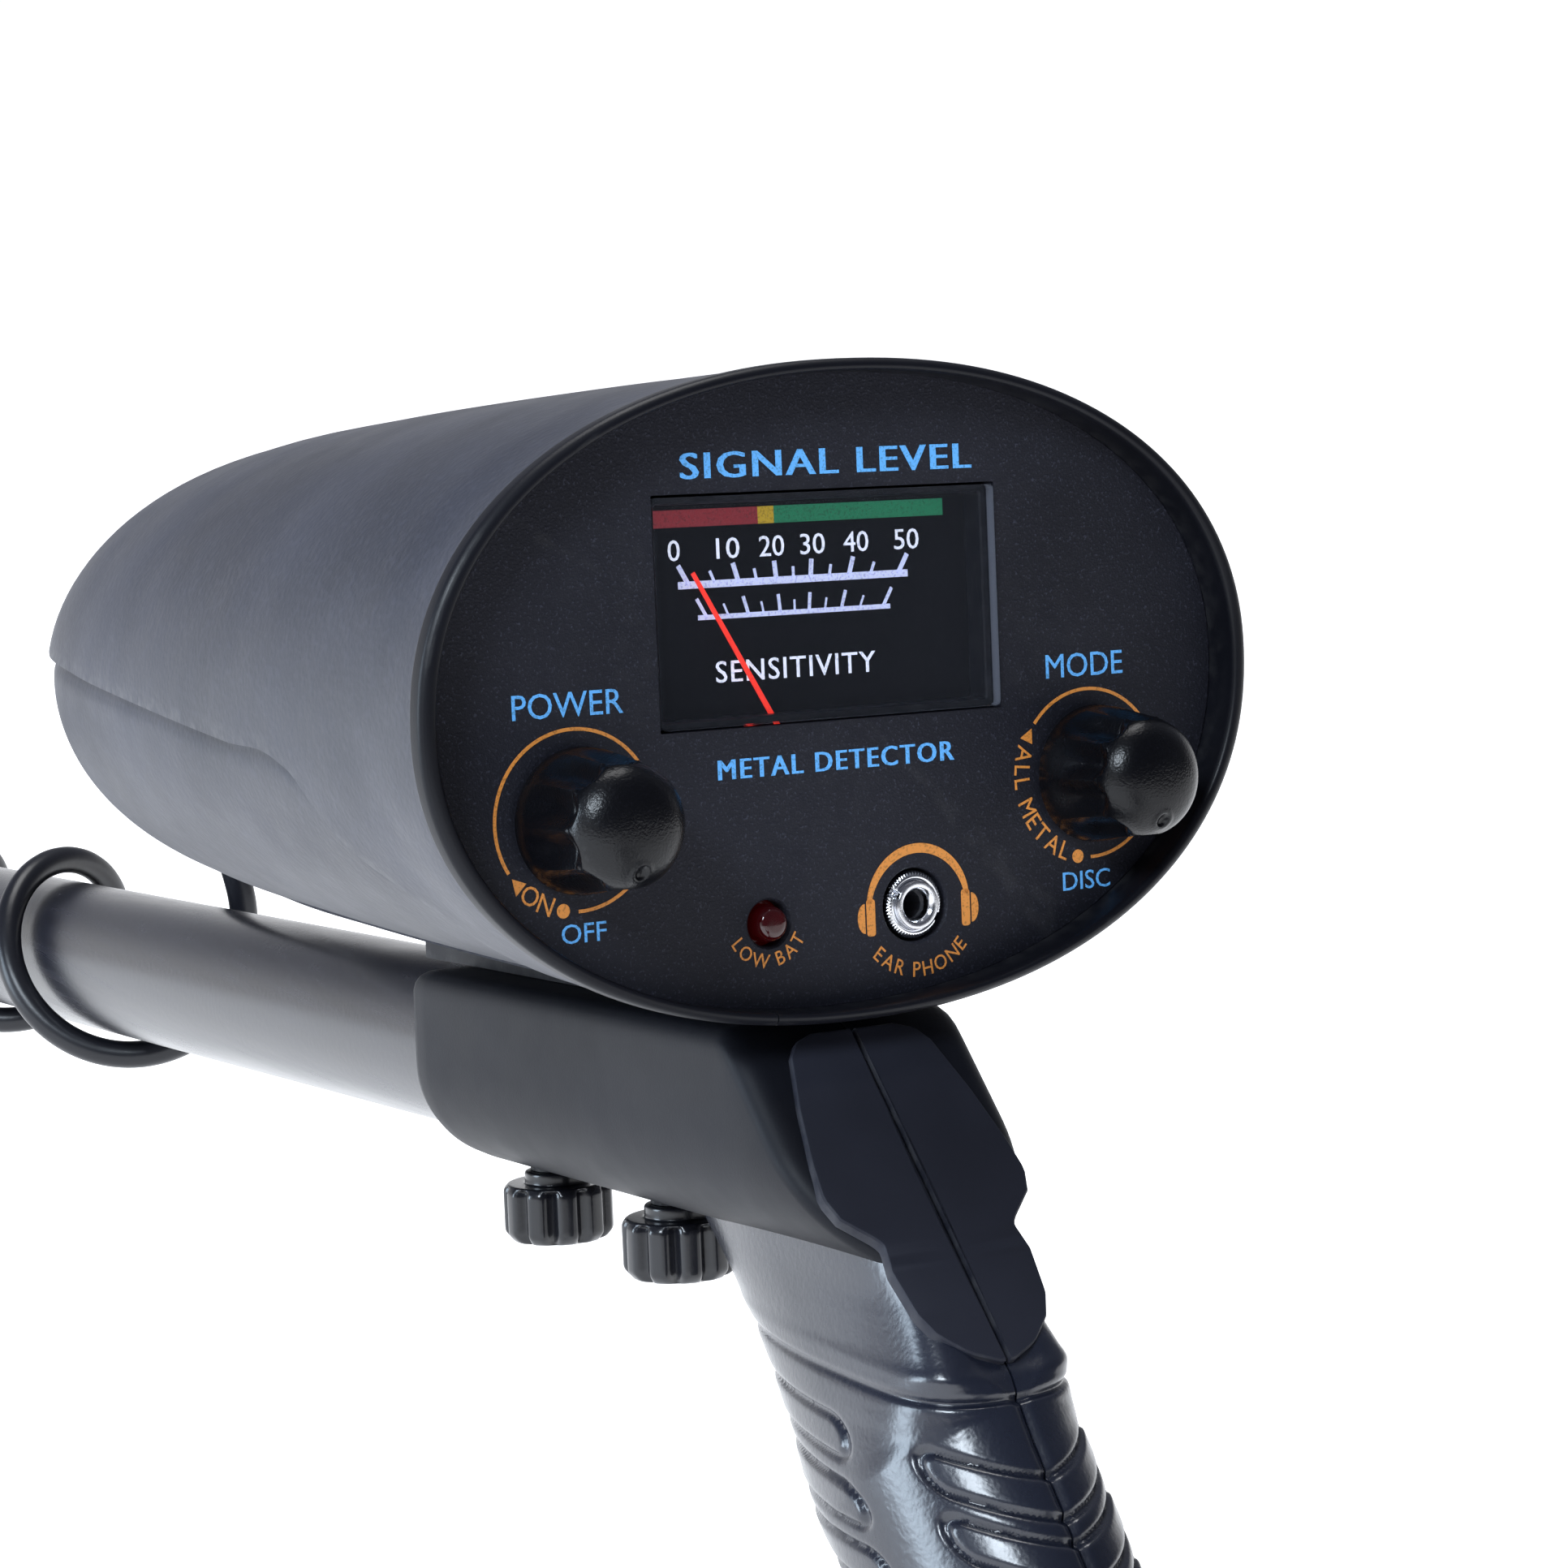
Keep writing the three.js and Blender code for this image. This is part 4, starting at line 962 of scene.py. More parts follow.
@dataclass
class Print:
    """Ink on a face that looks along -Y: it lies from just under the face to just above it."""

    face_y: float
    skin: Skin = field(default_factory=Skin)
    proud: float = 0.06
    sunk: float = 0.03

    def _slab(self, x: Array, z: Array, top: Array) -> Array:
        """Points of the ink; top is 1 on the outer face and 0 on the hidden one."""
        return np.stack([x, self.face_y + self.sunk - (self.proud + self.sunk) * top, z], axis=-1)

    def line(self, words: str, x0: float, x1: float, z0: float, z1: float, bold: float = 0.0,
             gap: float = 1.0) -> None:
        """Lettering fitted between x0 and x1, standing on z0 and reaching z1."""
        points, faces = letters(words, gap)
        spread = bold * (z1 - z0)
        x = x0 + spread + points[:, 0] * (x1 - x0 - 2 * spread) / points[:, 0].max()
        for step, raised in ((0.0, 1.0),) if bold <= 0.0 else ((-spread, 1.0), (0.0, 1.1), (spread, 1.2)):
            self.skin.loose(self._slab(x + step, z0 + points[:, 1] * (z1 - z0), (points[:, 2] > 0) * raised),
                            faces)

    def arched(self, words: str, x: float, z: float, radius: float, ends: Tuple[float, float], size: float,
               narrow: float = 0.92) -> None:
        """Letters spread on an arc, tops towards its centre: each is turned to the arc's slope at its middle.

        Args:
            words: the text.
            x: the arc's centre.
            z: the arc's centre.
            radius: of the middle of the letters.
            ends: the angles in degrees, from +X towards +Z, of the first and last letter's outer edges.
            size: the letters' height.
            narrow: the letters' width in parts of their natural width.
        """
        made = [letters(letter) if letter != " " else None for letter in words]
        widths = np.array([0.32 if part is None else part[0][:, 0].max() * narrow for part in made]) * size
        span = math.radians(ends[1] - ends[0]) * radius
        gap = (span - widths.sum()) / (len(words) - 1)
        middles = np.cumsum(widths + gap) - widths / 2.0 - gap
        for part, middle in zip(made, middles):
            if part is None:
                continue
            angle = math.radians(ends[0]) + middle / radius
            points, faces = part
            side = (points[:, 0] - points[:, 0].max() / 2.0) * size * narrow
            up = (points[:, 1] - 0.5) * size
            px = x + (radius - up) * math.cos(angle) - side * math.sin(angle)
            pz = z + (radius - up) * math.sin(angle) + side * math.cos(angle)
            self.skin.loose(self._slab(px, pz, (points[:, 2] > 0) * 1.0), faces)

    def shape(self, outline: Array) -> None:
        """A filled shape from its outline of (x, z), which all of it can be seen from the middle of."""
        one = np.ones(len(outline))
        top = self._slab(outline[:, 0], outline[:, 1], one)
        self.skin.slab(top, self._slab(outline[:, 0], outline[:, 1], 0 * one))

    def stroke(self, path: Array, width: Union[float, Array]) -> None:
        """A line of ink along a path of (x, z): the path moved half a width to each side, closed at its
        ends."""
        along = np.gradient(path, axis=0)
        along /= np.linalg.norm(along, axis=1, keepdims=True)
        half = np.reshape(np.broadcast_to(width, len(path)), (-1, 1)) / 2
        off = np.stack([-along[:, 1], along[:, 0]], axis=-1) * half
        left, right = path + off, path - off
        ring = np.stack([left, left, right, right], axis=1)
        grid = self._slab(ring[..., 0], ring[..., 1], np.broadcast_to([0.0, 1.0, 1.0, 0.0], ring.shape[:2]))
        self.skin.solid(grid)

    def arc(self, x: float, z: float, radius: float, ends: Tuple[float, float],
            width: Union[float, Array]) -> None:
        """An arc of ink: (x + r cos a, z + r sin a) from one angle in degrees to another."""
        a = np.radians(np.linspace(ends[0], ends[1], 73))
        self.stroke(np.stack([x + radius * np.cos(a), z + radius * np.sin(a)], axis=-1), width)

    def dot(self, x: float, z: float, radius: float) -> None:
        """A round dot."""
        self.shape(np.array([x, z]) + circle(radius, 28))

    def bar(self, x0: float, x1: float, z0: float, z1: float) -> None:
        """An upright rectangle."""
        self.shape(np.array([[x0, z0], [x1, z0], [x1, z1], [x0, z1]]))


# ------------------------------------------------------------------ control box


@dataclass
class ControlBox(Assembly):
    """The oval box with its recessed panel, battery doors and the lead's plug."""

    centre_z: float = 54.0
    wall: float = 2.5
    strip: float = 18.0
    rim_aspect: float = 1.482
    nose_aspect: float = 1.37
    length: float = 177.0
    lean: float = 0.035
    doors: Tuple[float, float] = (16.0, 173.4)
    knob_x: float = 37.3
    knob_z: float = 41.0
    window: Tuple[float, float, float, float] = (-0.65, 64.4, 49.4, 28.3)
    lamp: Tuple[float, float, float] = (-11.4, 26.3, 2.5)
    jack: Tuple[float, float, float] = (9.95, 26.6, 4.6)
    profile: Tuple[Tuple[float, float], ...] = (
        (-2.1, 39.9), (6, 39.6), (14, 39.35), (25, 39.15), (60, 38.35), (95, 37.15), (125, 35.55),
        (146, 33.0),
        (160, 28.5), (169, 22.0), (174.8, 13.0), (177, 0.0), (174.8, -13.0),
    )
    ledge: Tuple[Tuple[float, float], ...] = (
        (14, 27.5), (24, 33.6), (30, 37.0), (34.5, 41.4), (38, 45.4), (43, 47.6), (60, 49.3), (85, 51.9),
        (130, 56.7), (178, 61.9),
    )

    def aspect(self, y: Array) -> Array:
        """Half width over half height, falling evenly from the rim to the nose."""
        share = np.clip(y / self.length, 0.0, 1.0)
        return self.rim_aspect + (self.nose_aspect - self.rim_aspect) * share

    def fullness(self, y: Array) -> Array:
        """The oval's exponent: a little over 2 at the rim, for fuller corners, and 2 towards the nose."""
        return 2.0 + 0.15 * (1.0 - smooth_step(20.0, 150.0, y))

    def ring(self, half_height: Array, y: Array, angle: Array) -> Array:
        """Points of the oval: x = aspect * h * sin(angle) and z = h * cos(angle), each with its share of the
        way raised to 2 / fullness, and x moved by a small part of z, since the oval leans."""
        power = 2.0 / self.fullness(y)
        x = self.aspect(y) * half_height * np.sign(np.sin(angle)) * np.abs(np.sin(angle)) ** power
        z = half_height * np.sign(np.cos(angle)) * np.abs(np.cos(angle)) ** power
        lean = self.lean * (1.0 - smooth_step(0.0, 15.5, y))
        return np.stack([x + lean * z, y + 0 * x, self.centre_z + z], axis=-1)

    def wide(self, profile: Array, sides: int = 144) -> Array:
        """A profile of (half height, y) carried round the box's oval."""
        angle = np.arange(sides)[None, :] * TAU / sides
        return self.ring(profile[:, :1] + 0 * angle, profile[:, 1:] + 0 * angle, angle)

    def outline(self, stations: Sequence[Tuple[float, int]], sunk: float = 0.0,
                thin: float = 0.0) -> Tuple[Array, Array, Array]:
        """The box's outline from rim to nose, moved in along its normal.

        Args:
            stations: each a distance along Y and how many rows lead up to it.
            sunk: how far it is moved in.
            thin: how much less it is moved in at the front, where the panel lies inside the wall.

        Returns:
            y, half height, and the half height of the unmoved line, for each row.
        """
        dense = flowing(self.profile, 900)
        dense = dense[: int(np.argmin(np.abs(dense[:, 1]))) + 1]
        dense[-1] = (self.length, 0.0)
        arc = np.concatenate([[0.0], np.cumsum(np.linalg.norm(np.diff(dense, axis=0), axis=1))])
        marks = np.interp([y for y, _ in stations], dense[:, 0], arc)
        counts = [rows for _, rows in stations][1:]
        parts = [np.linspace(a, b, n, endpoint=False) for a, b, n in zip(marks[:-1], marks[1:], counts)]
        at = np.concatenate([*parts, marks[-1:]])
        y, h = np.interp(at, arc, dense[:, 0]), np.interp(at, arc, dense[:, 1])
        slope = np.gradient(dense, axis=0)
        slope /= np.linalg.norm(slope, axis=1, keepdims=True)
        ty, th = np.interp(at, arc, slope[:, 0]), np.interp(at, arc, slope[:, 1])
        moved = sunk - thin * (1.0 - smooth_step(3.0, 5.5, y))
        return y + moved * th, np.maximum(h - moved * ty, 0.0), h

    def edges(self, y: Array, h: Array) -> Tuple[Array, Array]:
        """The door's upper and lower edge at each row, as angles from the top: where z is the ledge's
        height, and where x is the strip's half width."""
        at = np.clip(y, self.doors[0], self.doors[1])
        high, half = np.maximum(h, 10.0), self.fullness(y) / 2.0
        rise = np.clip((table(self.ledge, at) - self.centre_z) / high, -0.99, 0.99)
        upper = np.arccos(np.sign(rise) * np.abs(rise) ** half)
        lower = math.pi - np.arcsin(np.clip(self.strip / (self.aspect(at) * high), 0.0, 0.99) ** half)
        return upper, np.maximum(lower, upper + 0.02)

    def case(self) -> bpy.types.Mesh:
        """The main moulding: angles from the top to the ledge, to the strip, to the bottom and back up, so
        that the door openings follow whole columns; the door cells are left out, and three sound holes are
        cut in the nose."""
        first, last = self.doors
        stations = [(-2.1, 0), (first, 16), (60.0, 30), (150.0, 44), (last, 26), (self.length, 10)]
        grids = []
        for sunk, thin in ((0.0, 0.0), (self.wall, 1.45)):
            y, h, bare = self.outline(stations, sunk, thin)
            upper, lower = self.edges(self.outline(stations, 0.0)[0], bare)
            counts = (26, 22, 8)
            ends = np.stack([0 * upper, upper, lower, 0 * lower + math.pi], axis=1)
            shares = [np.arange(n) / n for n in counts]
            half = np.concatenate(
                [ends[:, i, None] + (ends[:, i + 1] - ends[:, i])[:, None] * s for i, s in enumerate(shares)],
                axis=1)
            angle = np.concatenate([half, np.full((len(half), 1), math.pi), (TAU - half[:, :0:-1])], axis=1)
            grids.append(self.ring(h[:, None] + 0 * angle, y[:, None], angle))
        rows = self.outline(stations, 0.0)[0]
        inside = (rows[:-1] > first - 0.01) & (rows[1:] < last + 0.01)
        columns = np.arange(angle.shape[1])
        door = ((columns >= 26) & (columns < 48)) | ((columns >= 64) & (columns < 86))
        keep = ~(inside[:, None] & door[None, :])
        skin = Skin().pierced(grids[0], grids[1], keep)
        boss = eased([(6.6, 158, 0), (10, 158, 0), (10, 176.9, 0.6), (6.6, 176.9, 0.3)])
        skin.turned(looped(boss), 48, at=(6.0, 0.0, 36.0))
        holes = [Skin().rod(1.8, 150, 182, 20, at=(x, 0.0, 66.0))
                 .mesh("sound_hole", STEM) for x in (-16.0, -8.0, 0.0, 8.0, 16.0)]
        return carved(skin.mesh("case", STEM), holes, 30.0)

    def door(self, side: Side) -> Skin:
        """A battery door: the box's outline sunk a little, between the ledge and the strip less a gap, which
        is wider below, where the door passes narrower parts of the case as it slides."""
        first, last = self.doors
        gap = 0.35
        stations = [(first + gap, 0), (60.0, 40), (150.0, 50), (last - gap, 30)]
        layers = []
        for sunk in (0.75, self.wall - 0.1):
            y, h, bare = self.outline(stations, sunk)
            upper, lower = self.edges(self.outline(stations, 0.0)[0], bare)
            reach = gap / np.maximum(bare, 8.0)
            s = np.linspace(0.0, 1.0, 49)[None, :]
            angle = (upper + reach)[:, None] + (lower - upper - 3.6 * reach)[:, None] * s
            cove = 0.55 * np.exp(-((s * (lower - upper)[:, None] * h[:, None] / 1.6) ** 2))
            high = h[:, None] - cove * (sunk < 1.0)
            layers.append(self.ring(high + 0 * angle, y[:, None], angle * side.value))
        return Skin().walled(layers[0], layers[1])

    def rim(self) -> bpy.types.Mesh:
        """The rim: a closed profile round the oval with a broad round on its outer front edge, and a parting
        line."""
        profile = eased([
            (38.55, -0.2, 0.0), (38.6, -4.7, 0.35), (38.85, -5.3, 0.3), (39.5, -5.3, 0.5), (40.12, -4.6, 0.5),
            (40.15, -2.45, 0.22), (39.9, -2.25, 0.1), (38.85, -2.2, 0.0), (38.85, -0.2, 0.0),
        ])
        skin = Skin().sheet(self.wide(looped(profile), 192), True)
        nick = Skin().block((-13.9, -7.0, 10.0), (-13.7, -1.5, 17.5), 0.02).mesh("nick", STEM)
        return carved(skin.mesh("rim", STEM), [nick])

    def panel(self) -> bpy.types.Mesh:
        """The panel: an oval plate with a window, shaft, lamp and jack holes, whose round holes are
        countersunk."""
        profile = eased([(0.0, 0.0, 0.0), (38.65, 0.0, 0.15), (38.65, 2.2, 0.1), (0.0, 2.2, 0.0)],
                        closed=False)
        plate = Skin().sheet(self.wide(profile, 192), True).mesh("panel", STEM)
        x, z, width, height = self.window
        cutters = [Skin().block((x - width / 2, -5, z - height / 2), (x + width / 2, 9, z + height / 2), 0.3)
                   .mesh("window_hole", STEM)]
        holes = [(-self.knob_x, self.knob_z, 4.0), (self.knob_x, self.knob_z, 4.0),
                 (self.lamp[0], self.lamp[1], 2.85), self.jack]
        for hx, hz, r in holes:
            sink = np.array([[0, -1.0], [r + 1.25, -1.0], [r + 0.3, 0.02], [r + 0.05, 0.3], [r, 0.5], [r, 6],
                             [0, 6.0]])
            cutters.append(Skin().turned(sink, 56, at=(hx, 0.0, hz)).mesh("hole", STEM))
        return carved(plate, cutters)

    def cover(self) -> Skin:
        """The meter's clear cover: a rectangle with eased corners whose border steps down in two bevels."""
        x, z, width, height = self.window
        inset = np.array([0.0, 0.0, 0.25, 1.1, 1.35, 1.6])
        depth = np.array([1.2, -0.35, -0.6, -0.6, -0.45, -0.45])
        rows = []
        for d, y in zip(inset, depth):
            w, h = width / 2 - 0.3 - d, height / 2 - 0.3 - d
            ring = eased([(-w, -h, 0.8), (w, -h, 0.8), (w, h, 0.8), (-w, h, 0.8)], 7)
            rows.append(np.column_stack([ring[:, 0] + x, np.full(len(ring), y), ring[:, 1] + z]))
        return Skin().solid(rows)

    def bezel(self) -> Skin:
        """The dark frame behind the cover's border: a stepped ring between the window's edge and the dial."""
        x, z, width, height = self.window
        profile = [(0.35, 4.9), (0.35, 1.45), (1.0, 1.45), (1.2, 1.7), (1.25, 4.9)]
        rows = []
        for d, y in profile + profile[:1]:
            w, h = width / 2 - d, height / 2 - d
            ring = eased([(-w, -h, 0.6), (w, -h, 0.6), (w, h, 0.6), (-w, h, 0.6)], 5)
            rows.append(np.column_stack([ring[:, 0] + x, np.full(len(ring), y), ring[:, 1] + z]))
        return Skin().sheet(np.array(rows), True)

    def knob(self) -> Skin:
        """A knob about Y: a skirt with ten soft flutes that deepen towards a domed cap, whose edge follows
        them. Each flute is the positive part of cos(10 * angle) to a power, and a dimple near the cap's
        lower edge marks the setting."""
        skirt = [(3.3, -1.4), (8.0, -1.0), (8.75, -1.25), (8.72, -3.0), (8.35, -6.0), (7.95, -9.0),
                 (7.72, -10.9)]
        t = np.linspace(0.0, 1.0, 46)[1:]
        dome = np.stack([7.62 * np.cos(t * math.pi / 2) ** 0.82,
                         -11.0 - 5.4 * np.sin(t * math.pi / 2) ** 0.95], axis=-1)
        dome[-1, 0] = 0.0
        line = np.concatenate([refined(np.array(skirt), 0.35), [(7.66, -11.0)], dome])

        def fluted(radius: Array, y: Array, angle: Array) -> Array:
            """The radius less a scallop that starts at the base and is deepest just behind the cap."""
            lobe = np.abs(np.cos(5.0 * angle)) ** 1.15
            depth = 1.35 * smooth_step(1.2, 8.0, -y)
            depth = depth * (1.0 - smooth_step(10.8 + 0.6 * lobe, 12.4 + 0.8 * lobe, -y))
            lip = 0.16 * bell(-y - 11.35 - 0.55 * lobe, 0.3)
            return radius - lobe * depth + lip * (radius > 5.0)

        grid = turned(line, 180, fluted)
        away = np.hypot(grid[..., 0], grid[..., 2] + 5.3)
        dent = 0.6 * np.exp(-((away / 0.72) ** 4)) - 0.16 * bell(away - 1.1, 0.36)
        grid[..., 1] += dent * (grid[..., 1] < -11.5)
        return Skin().sheet(grid, True).lid(grid[0])

    def nut(self) -> Skin:
        """The jack's nut about Y: a ring whose outer edge is knurled with sixty ridges, with two spanner
        slots."""
        line = eased([(2.95, 4.0, 0.1), (2.95, 2.3, 0.3), (3.3, 2.0, 0.2), (3.7, 2.0, 0.2), (4.15, 2.45, 0.2),
                      (4.15, 4.0, 0.1)], 4)
        line = refined(looped(line), 0.25)

        def knurled(radius: Array, y: Array, angle: Array) -> Array:
            """Ridges on the outside, and two notches across the face at one and seven o'clock."""
            ridge = 0.09 * np.cos(60.0 * angle) * smooth_step(3.6, 3.95, radius)
            notch = np.exp(-(((np.mod(angle - 0.5, math.pi) - math.pi / 2) / 0.11) ** 4))
            return radius + ridge - 0.35 * notch * smooth_step(3.4, 3.9, radius)

        grid = turned(line, 360, knurled)
        angle = np.arange(360)[None, :] * TAU / 360
        notch = np.exp(-(((np.mod(angle - 0.5, math.pi) - math.pi / 2) / 0.11) ** 4))
        grid[..., 1] += 0.55 * notch * (grid[..., 1] < 2.6)
        return Skin().sheet(grid, True)

    def markings(self) -> None:
        """The panel's printing, in two colours."""
        blue, orange = Print(0.0), Print(0.0)
        blue.line("SIGNAL LEVEL", -21.2, 20.8, 80.35, 83.45, 0.045, 1.12)
        blue.line("METAL DETECTOR", -17.7, 16.6, 44.2, 46.6, 0.04, 1.16)
        blue.line("POWER", -45.1, -30.3, 53.2, 56.15)
        blue.line("MODE", 31.1, 43.1, 53.4, 56.4)
        blue.line("OFF", -39.9, -33.9, 26.55, 28.85)
        blue.line("DISC", 32.6, 40.0, 26.25, 28.6)
        for x, end in ((-self.knob_x, 211.0), (self.knob_x, 140.5)):
            orange.arc(x, self.knob_z, 10.75, (-91.0, end), 0.42)
            tip, base = math.radians(end + 4.0), math.radians(end + 13.5)
            points = [(10.75, tip), (9.75, base), (11.75, base)]
            orange.shape(np.array([(x + r * math.cos(a), self.knob_z + r * math.sin(a)) for r, a in points]))
            off = math.radians(258.0)
            orange.dot(x + 10.75 * math.cos(off), self.knob_z + 10.75 * math.sin(off), 0.86)
        orange.arched("ON", -self.knob_x, self.knob_z, 10.6, (226.0, 250.0), 2.3)
        orange.arched("ALL METAL", self.knob_x, self.knob_z, 10.5, (157.5, 249.5), 2.3)
        orange.arched("LOW BAT", self.lamp[0] - 0.2, self.lamp[1] + 0.5, 5.0, (206.0, 334.0), 1.75)
        orange.arched("EAR PHONE", 10.3, 27.0, 8.45, (222.0, 320.0), 1.85)
        self.headphones(orange)
        self.add("print_blue", blue.skin, SKY_INK)
        self.add("print_orange", orange.skin, ORANGE_INK)

    @staticmethod
    def headphones(ink: Print) -> None:
        """The earphone sign: a band that thins towards its ends, with two cups."""
        width = 0.55 + 0.65 * np.sin(np.linspace(0.0, math.pi, 73)) ** 0.6
        ink.arc(10.4, 26.3, 7.35, (8.0, 172.0), width)
        for way in (-1.0, 1.0):
            inner = np.array([[6.45, 23.3], [7.7, 23.3], [7.7, 27.9], [6.45, 27.9]])
            inner = inner * [way, 1.0] + [10.4, 0.0]
            ink.shape(eased([(px, pz, 0.45) for px, pz in inner], 5))
            a = np.linspace(-math.pi / 2, math.pi / 2, 20)
            half = np.stack([10.4 + way * (7.95 + 1.05 * np.cos(a)), 25.55 + 1.85 * np.sin(a)], axis=-1)
            ink.shape(half)

    def scale(self) -> None:
        """The dial's printing: a band in three colours, two scales whose ticks lean towards the needle's
        pivot, numbers and a word."""
        y = 5.0
        for name, ink, x0, x1 in (("dial_band_red", RED_BAND, -23.3, -7.6),
                                  ("dial_band_yellow", YELLOW_BAND, -7.6, -5.3),
                                  ("dial_band_green", GREEN_BAND, -5.3, 19.6)):
            band = Print(y)
            band.bar(x0, x1, 74.6, 76.7)
            self.add(name, band.skin, ink)
        white, lilac = Print(y), Print(y)
        for word, x0, x1 in (("0", -20.4, -18.8), ("10", -13.6, -10.4), ("20", -7.5, -4.0), ("30", -1.6, 1.9),
                             ("40", 4.7, 8.3), ("50", 12.2, 15.8)):
            white.line(word, x0, x1, 70.6, 73.1, -0.012)
        white.line("SENSITIVITY", -14.4, 8.7, 55.6, 58.2, 0.004, 1.1)
        pivot = np.array([-2.8, 42.0])
        long = np.array([-19.1, -11.4, -5.5, -0.1, 6.0, 14.0])
        short = np.array([-14.7, -8.4, -2.8, 2.7, 9.1])
        for ends, foot, thick, size in (((-19.2, 14.0), 67.6, 0.9, 1.0), ((-16.6, 11.2), 63.6, 0.6, 0.852)):
            lilac.bar(ends[0], ends[1], foot - thick / 2, foot + thick / 2)
            for tops, rise, width in ((long, 2.4, 0.62), (short, 1.6, 0.38)):
                for top in tops:
                    head = np.array([pivot[0] + (top - pivot[0]) * size,
                                     foot + rise * (1.0 if size == 1.0 else 0.96)])
                    reach = (head - pivot) * (1.0 - (head[1] - foot) / (head[1] - pivot[1])) + pivot
                    lilac.stroke(np.linspace(reach, head, 4), width * (1.0 if size == 1.0 else 0.72))
        self.add("dial_numbers", white.skin, WHITE_INK)
        self.add("dial_scales", lilac.skin, LILAC_INK)

    def pointer(self) -> Skin:
        """The needle: a flat blade that tapers from its hub, turned thirty degrees to zero, with a round
        hub."""
        s = np.linspace(0.0, 1.0, 24)[:, None, None]
        zero, length = math.radians(30.2), 30.4
        path = np.array([-math.sin(zero), 0.0, math.cos(zero)]) * length * s
        path = path[:, 0] + [-2.6, 3.6, 42.8]
        section = np.array([[0.14, 0.34], [-0.14, 0.34], [-0.14, -0.34], [0.14, -0.34]])
        taper = (1.0 - 0.25 * s) * section
        grid = swept(path, (0.0, 1.0, 0.0), taper)
        skin = Skin().solid(grid)
        hub = eased([(0, 3.0, 0), (1.6, 3.0, 0.2), (1.6, 4.2, 0.2), (0, 4.2, 0)], closed=False)
        return skin.turned(hub, 28, at=(-2.6, 0.0, 42.8))

    def plug(self) -> Skin:
        """The lead's plug about Y: a ribbed collar and a tapering sleeve with relief rings."""
        line = refined(eased([(0, 170, 0), (4, 170, 0.3), (4, 179.4, 0), (8.0, 179.4, 0.3), (8.6, 180.4, 0.3),
                              (8.6, 191, 0.4), (6.3, 192.6, 0.5), (5.0, 196, 0.6), (3.3, 204, 0.2),
                              (0, 204, 0)],
                             closed=False), 0.5)

        def ribbed(radius: Array, y: Array, angle: Array) -> Array:
            """Twenty-four ribs on the collar, and rings on the sleeve."""
            collar = smooth_step(180.6, 181.4, y) * (1 - smooth_step(189.5, 190.5, y))
            sleeve = smooth_step(194.5, 196.0, y) * (1 - smooth_step(202.0, 203.4, y))
            return radius - 0.28 * collar * (0.5 + 0.5 * np.cos(24 * angle)) ** 2 - 0.3 * sleeve * (
                0.5 + 0.5 * np.cos(y * TAU / 1.9)) ** 2

        return Skin().turned(line, 144, ribbed, at=(6.0, 0.0, 36.0))

    def saddle(self) -> Skin:
        """The bracket between box and handle: a pad whose top follows the box's underside."""
        y = np.linspace(8.0, 99.0, 60)
        x = np.concatenate([[-9.0], np.linspace(-9.0, 9.0, 21), [9.0]])
        bare = np.interp(y, [p[0] for p in self.profile[:8]], [p[1] for p in self.profile[:8]]) + 0.05
        across = np.clip(x[None, :] / (self.aspect(y) * bare)[:, None], -0.99, 0.99)
        top = self.centre_z - bare[:, None] * np.sqrt(1.0 - across**2)
        low = np.full_like(top, 13.5)
        top[:, [0, -1]] -= 0.25
        grid = [np.stack([x[None, :] + 0 * h, y[:, None] + 0 * h, h], axis=-1) for h in (top, low)]
        return Skin().walled(grid[0], grid[1])

    def build(self) -> None:
        """Makes the box and dresses what is inside it."""
        self.add("case_shell_grained", self.case(), CASE, ["case_shell"])
        for side, word in ((Side.LEFT, "left"), (Side.RIGHT, "right")):
            name = f"battery_door_{word}"
            self.add(name + "_grained", self.door(side), CASE, [name], f"{word}_door")
        self.add("front_rim_rounded", self.rim(), RIM, ["front_rim"])
        self.add("front_panel_granular", self.panel(), PANEL, ["front_panel"])
        self.add("meter_cover", self.cover(), GLASS, ["meter_window"], crease=8.0)
        self.add("meter_bezel", self.bezel(), RIM)
        self.add("needle_blade", self.pointer(), NEEDLE_RED, ["meter_needle"], "needle")
        for word, x in (("power", -self.knob_x), ("mode", self.knob_x)):
            place = STEM.moved(x, 0.0, self.knob_z)
            self.add(f"{word}_knob_fluted", self.knob(), KNOB, [f"{word}_knob"], f"{word}_control", place,
                     40.0)
        lens = eased([(0.0, -1.5, 0.0), (1.8, -1.5, 1.1), (2.3, 0.0, 0.8), (2.3, 2.6, 0.0), (3.0, 2.6, 0.0),
                      (3.0, 3.8, 0.0), (0.0, 3.8, 0.0)], 9, closed=False)
        self.add("lamp_dome", Skin().turned(lens, 64, at=(self.lamp[0], 0.0, self.lamp[1])), LAMP_RED,
                 ["low_battery_lamp"])
        forward = STEM.moved(self.jack[0], -2.0, self.jack[1])
        self.add("jack_nut_knurled", self.nut(), CHROME, ["jack_nut"], place=forward)
        bore = eased([(1.8, 16, 0), (1.8, 1.9, 0.3), (2.3, 1.3, 0.2), (3.0, 1.3, 0.15), (3.0, 5.0, 0),
                      (3.0, 16, 0)])
        bushing = Skin().turned(looped(bore), 64)
        self.add("jack_bushing", bushing, CHROME, slot="plated", place=forward)
        self.markings()
        self.scale()
        self.add("coil_plug_ribbed", self.plug(), RUBBER, ["coil_plug"])
        self.add("box_saddle_pad", self.saddle(), MATTE, ["box_saddle"])
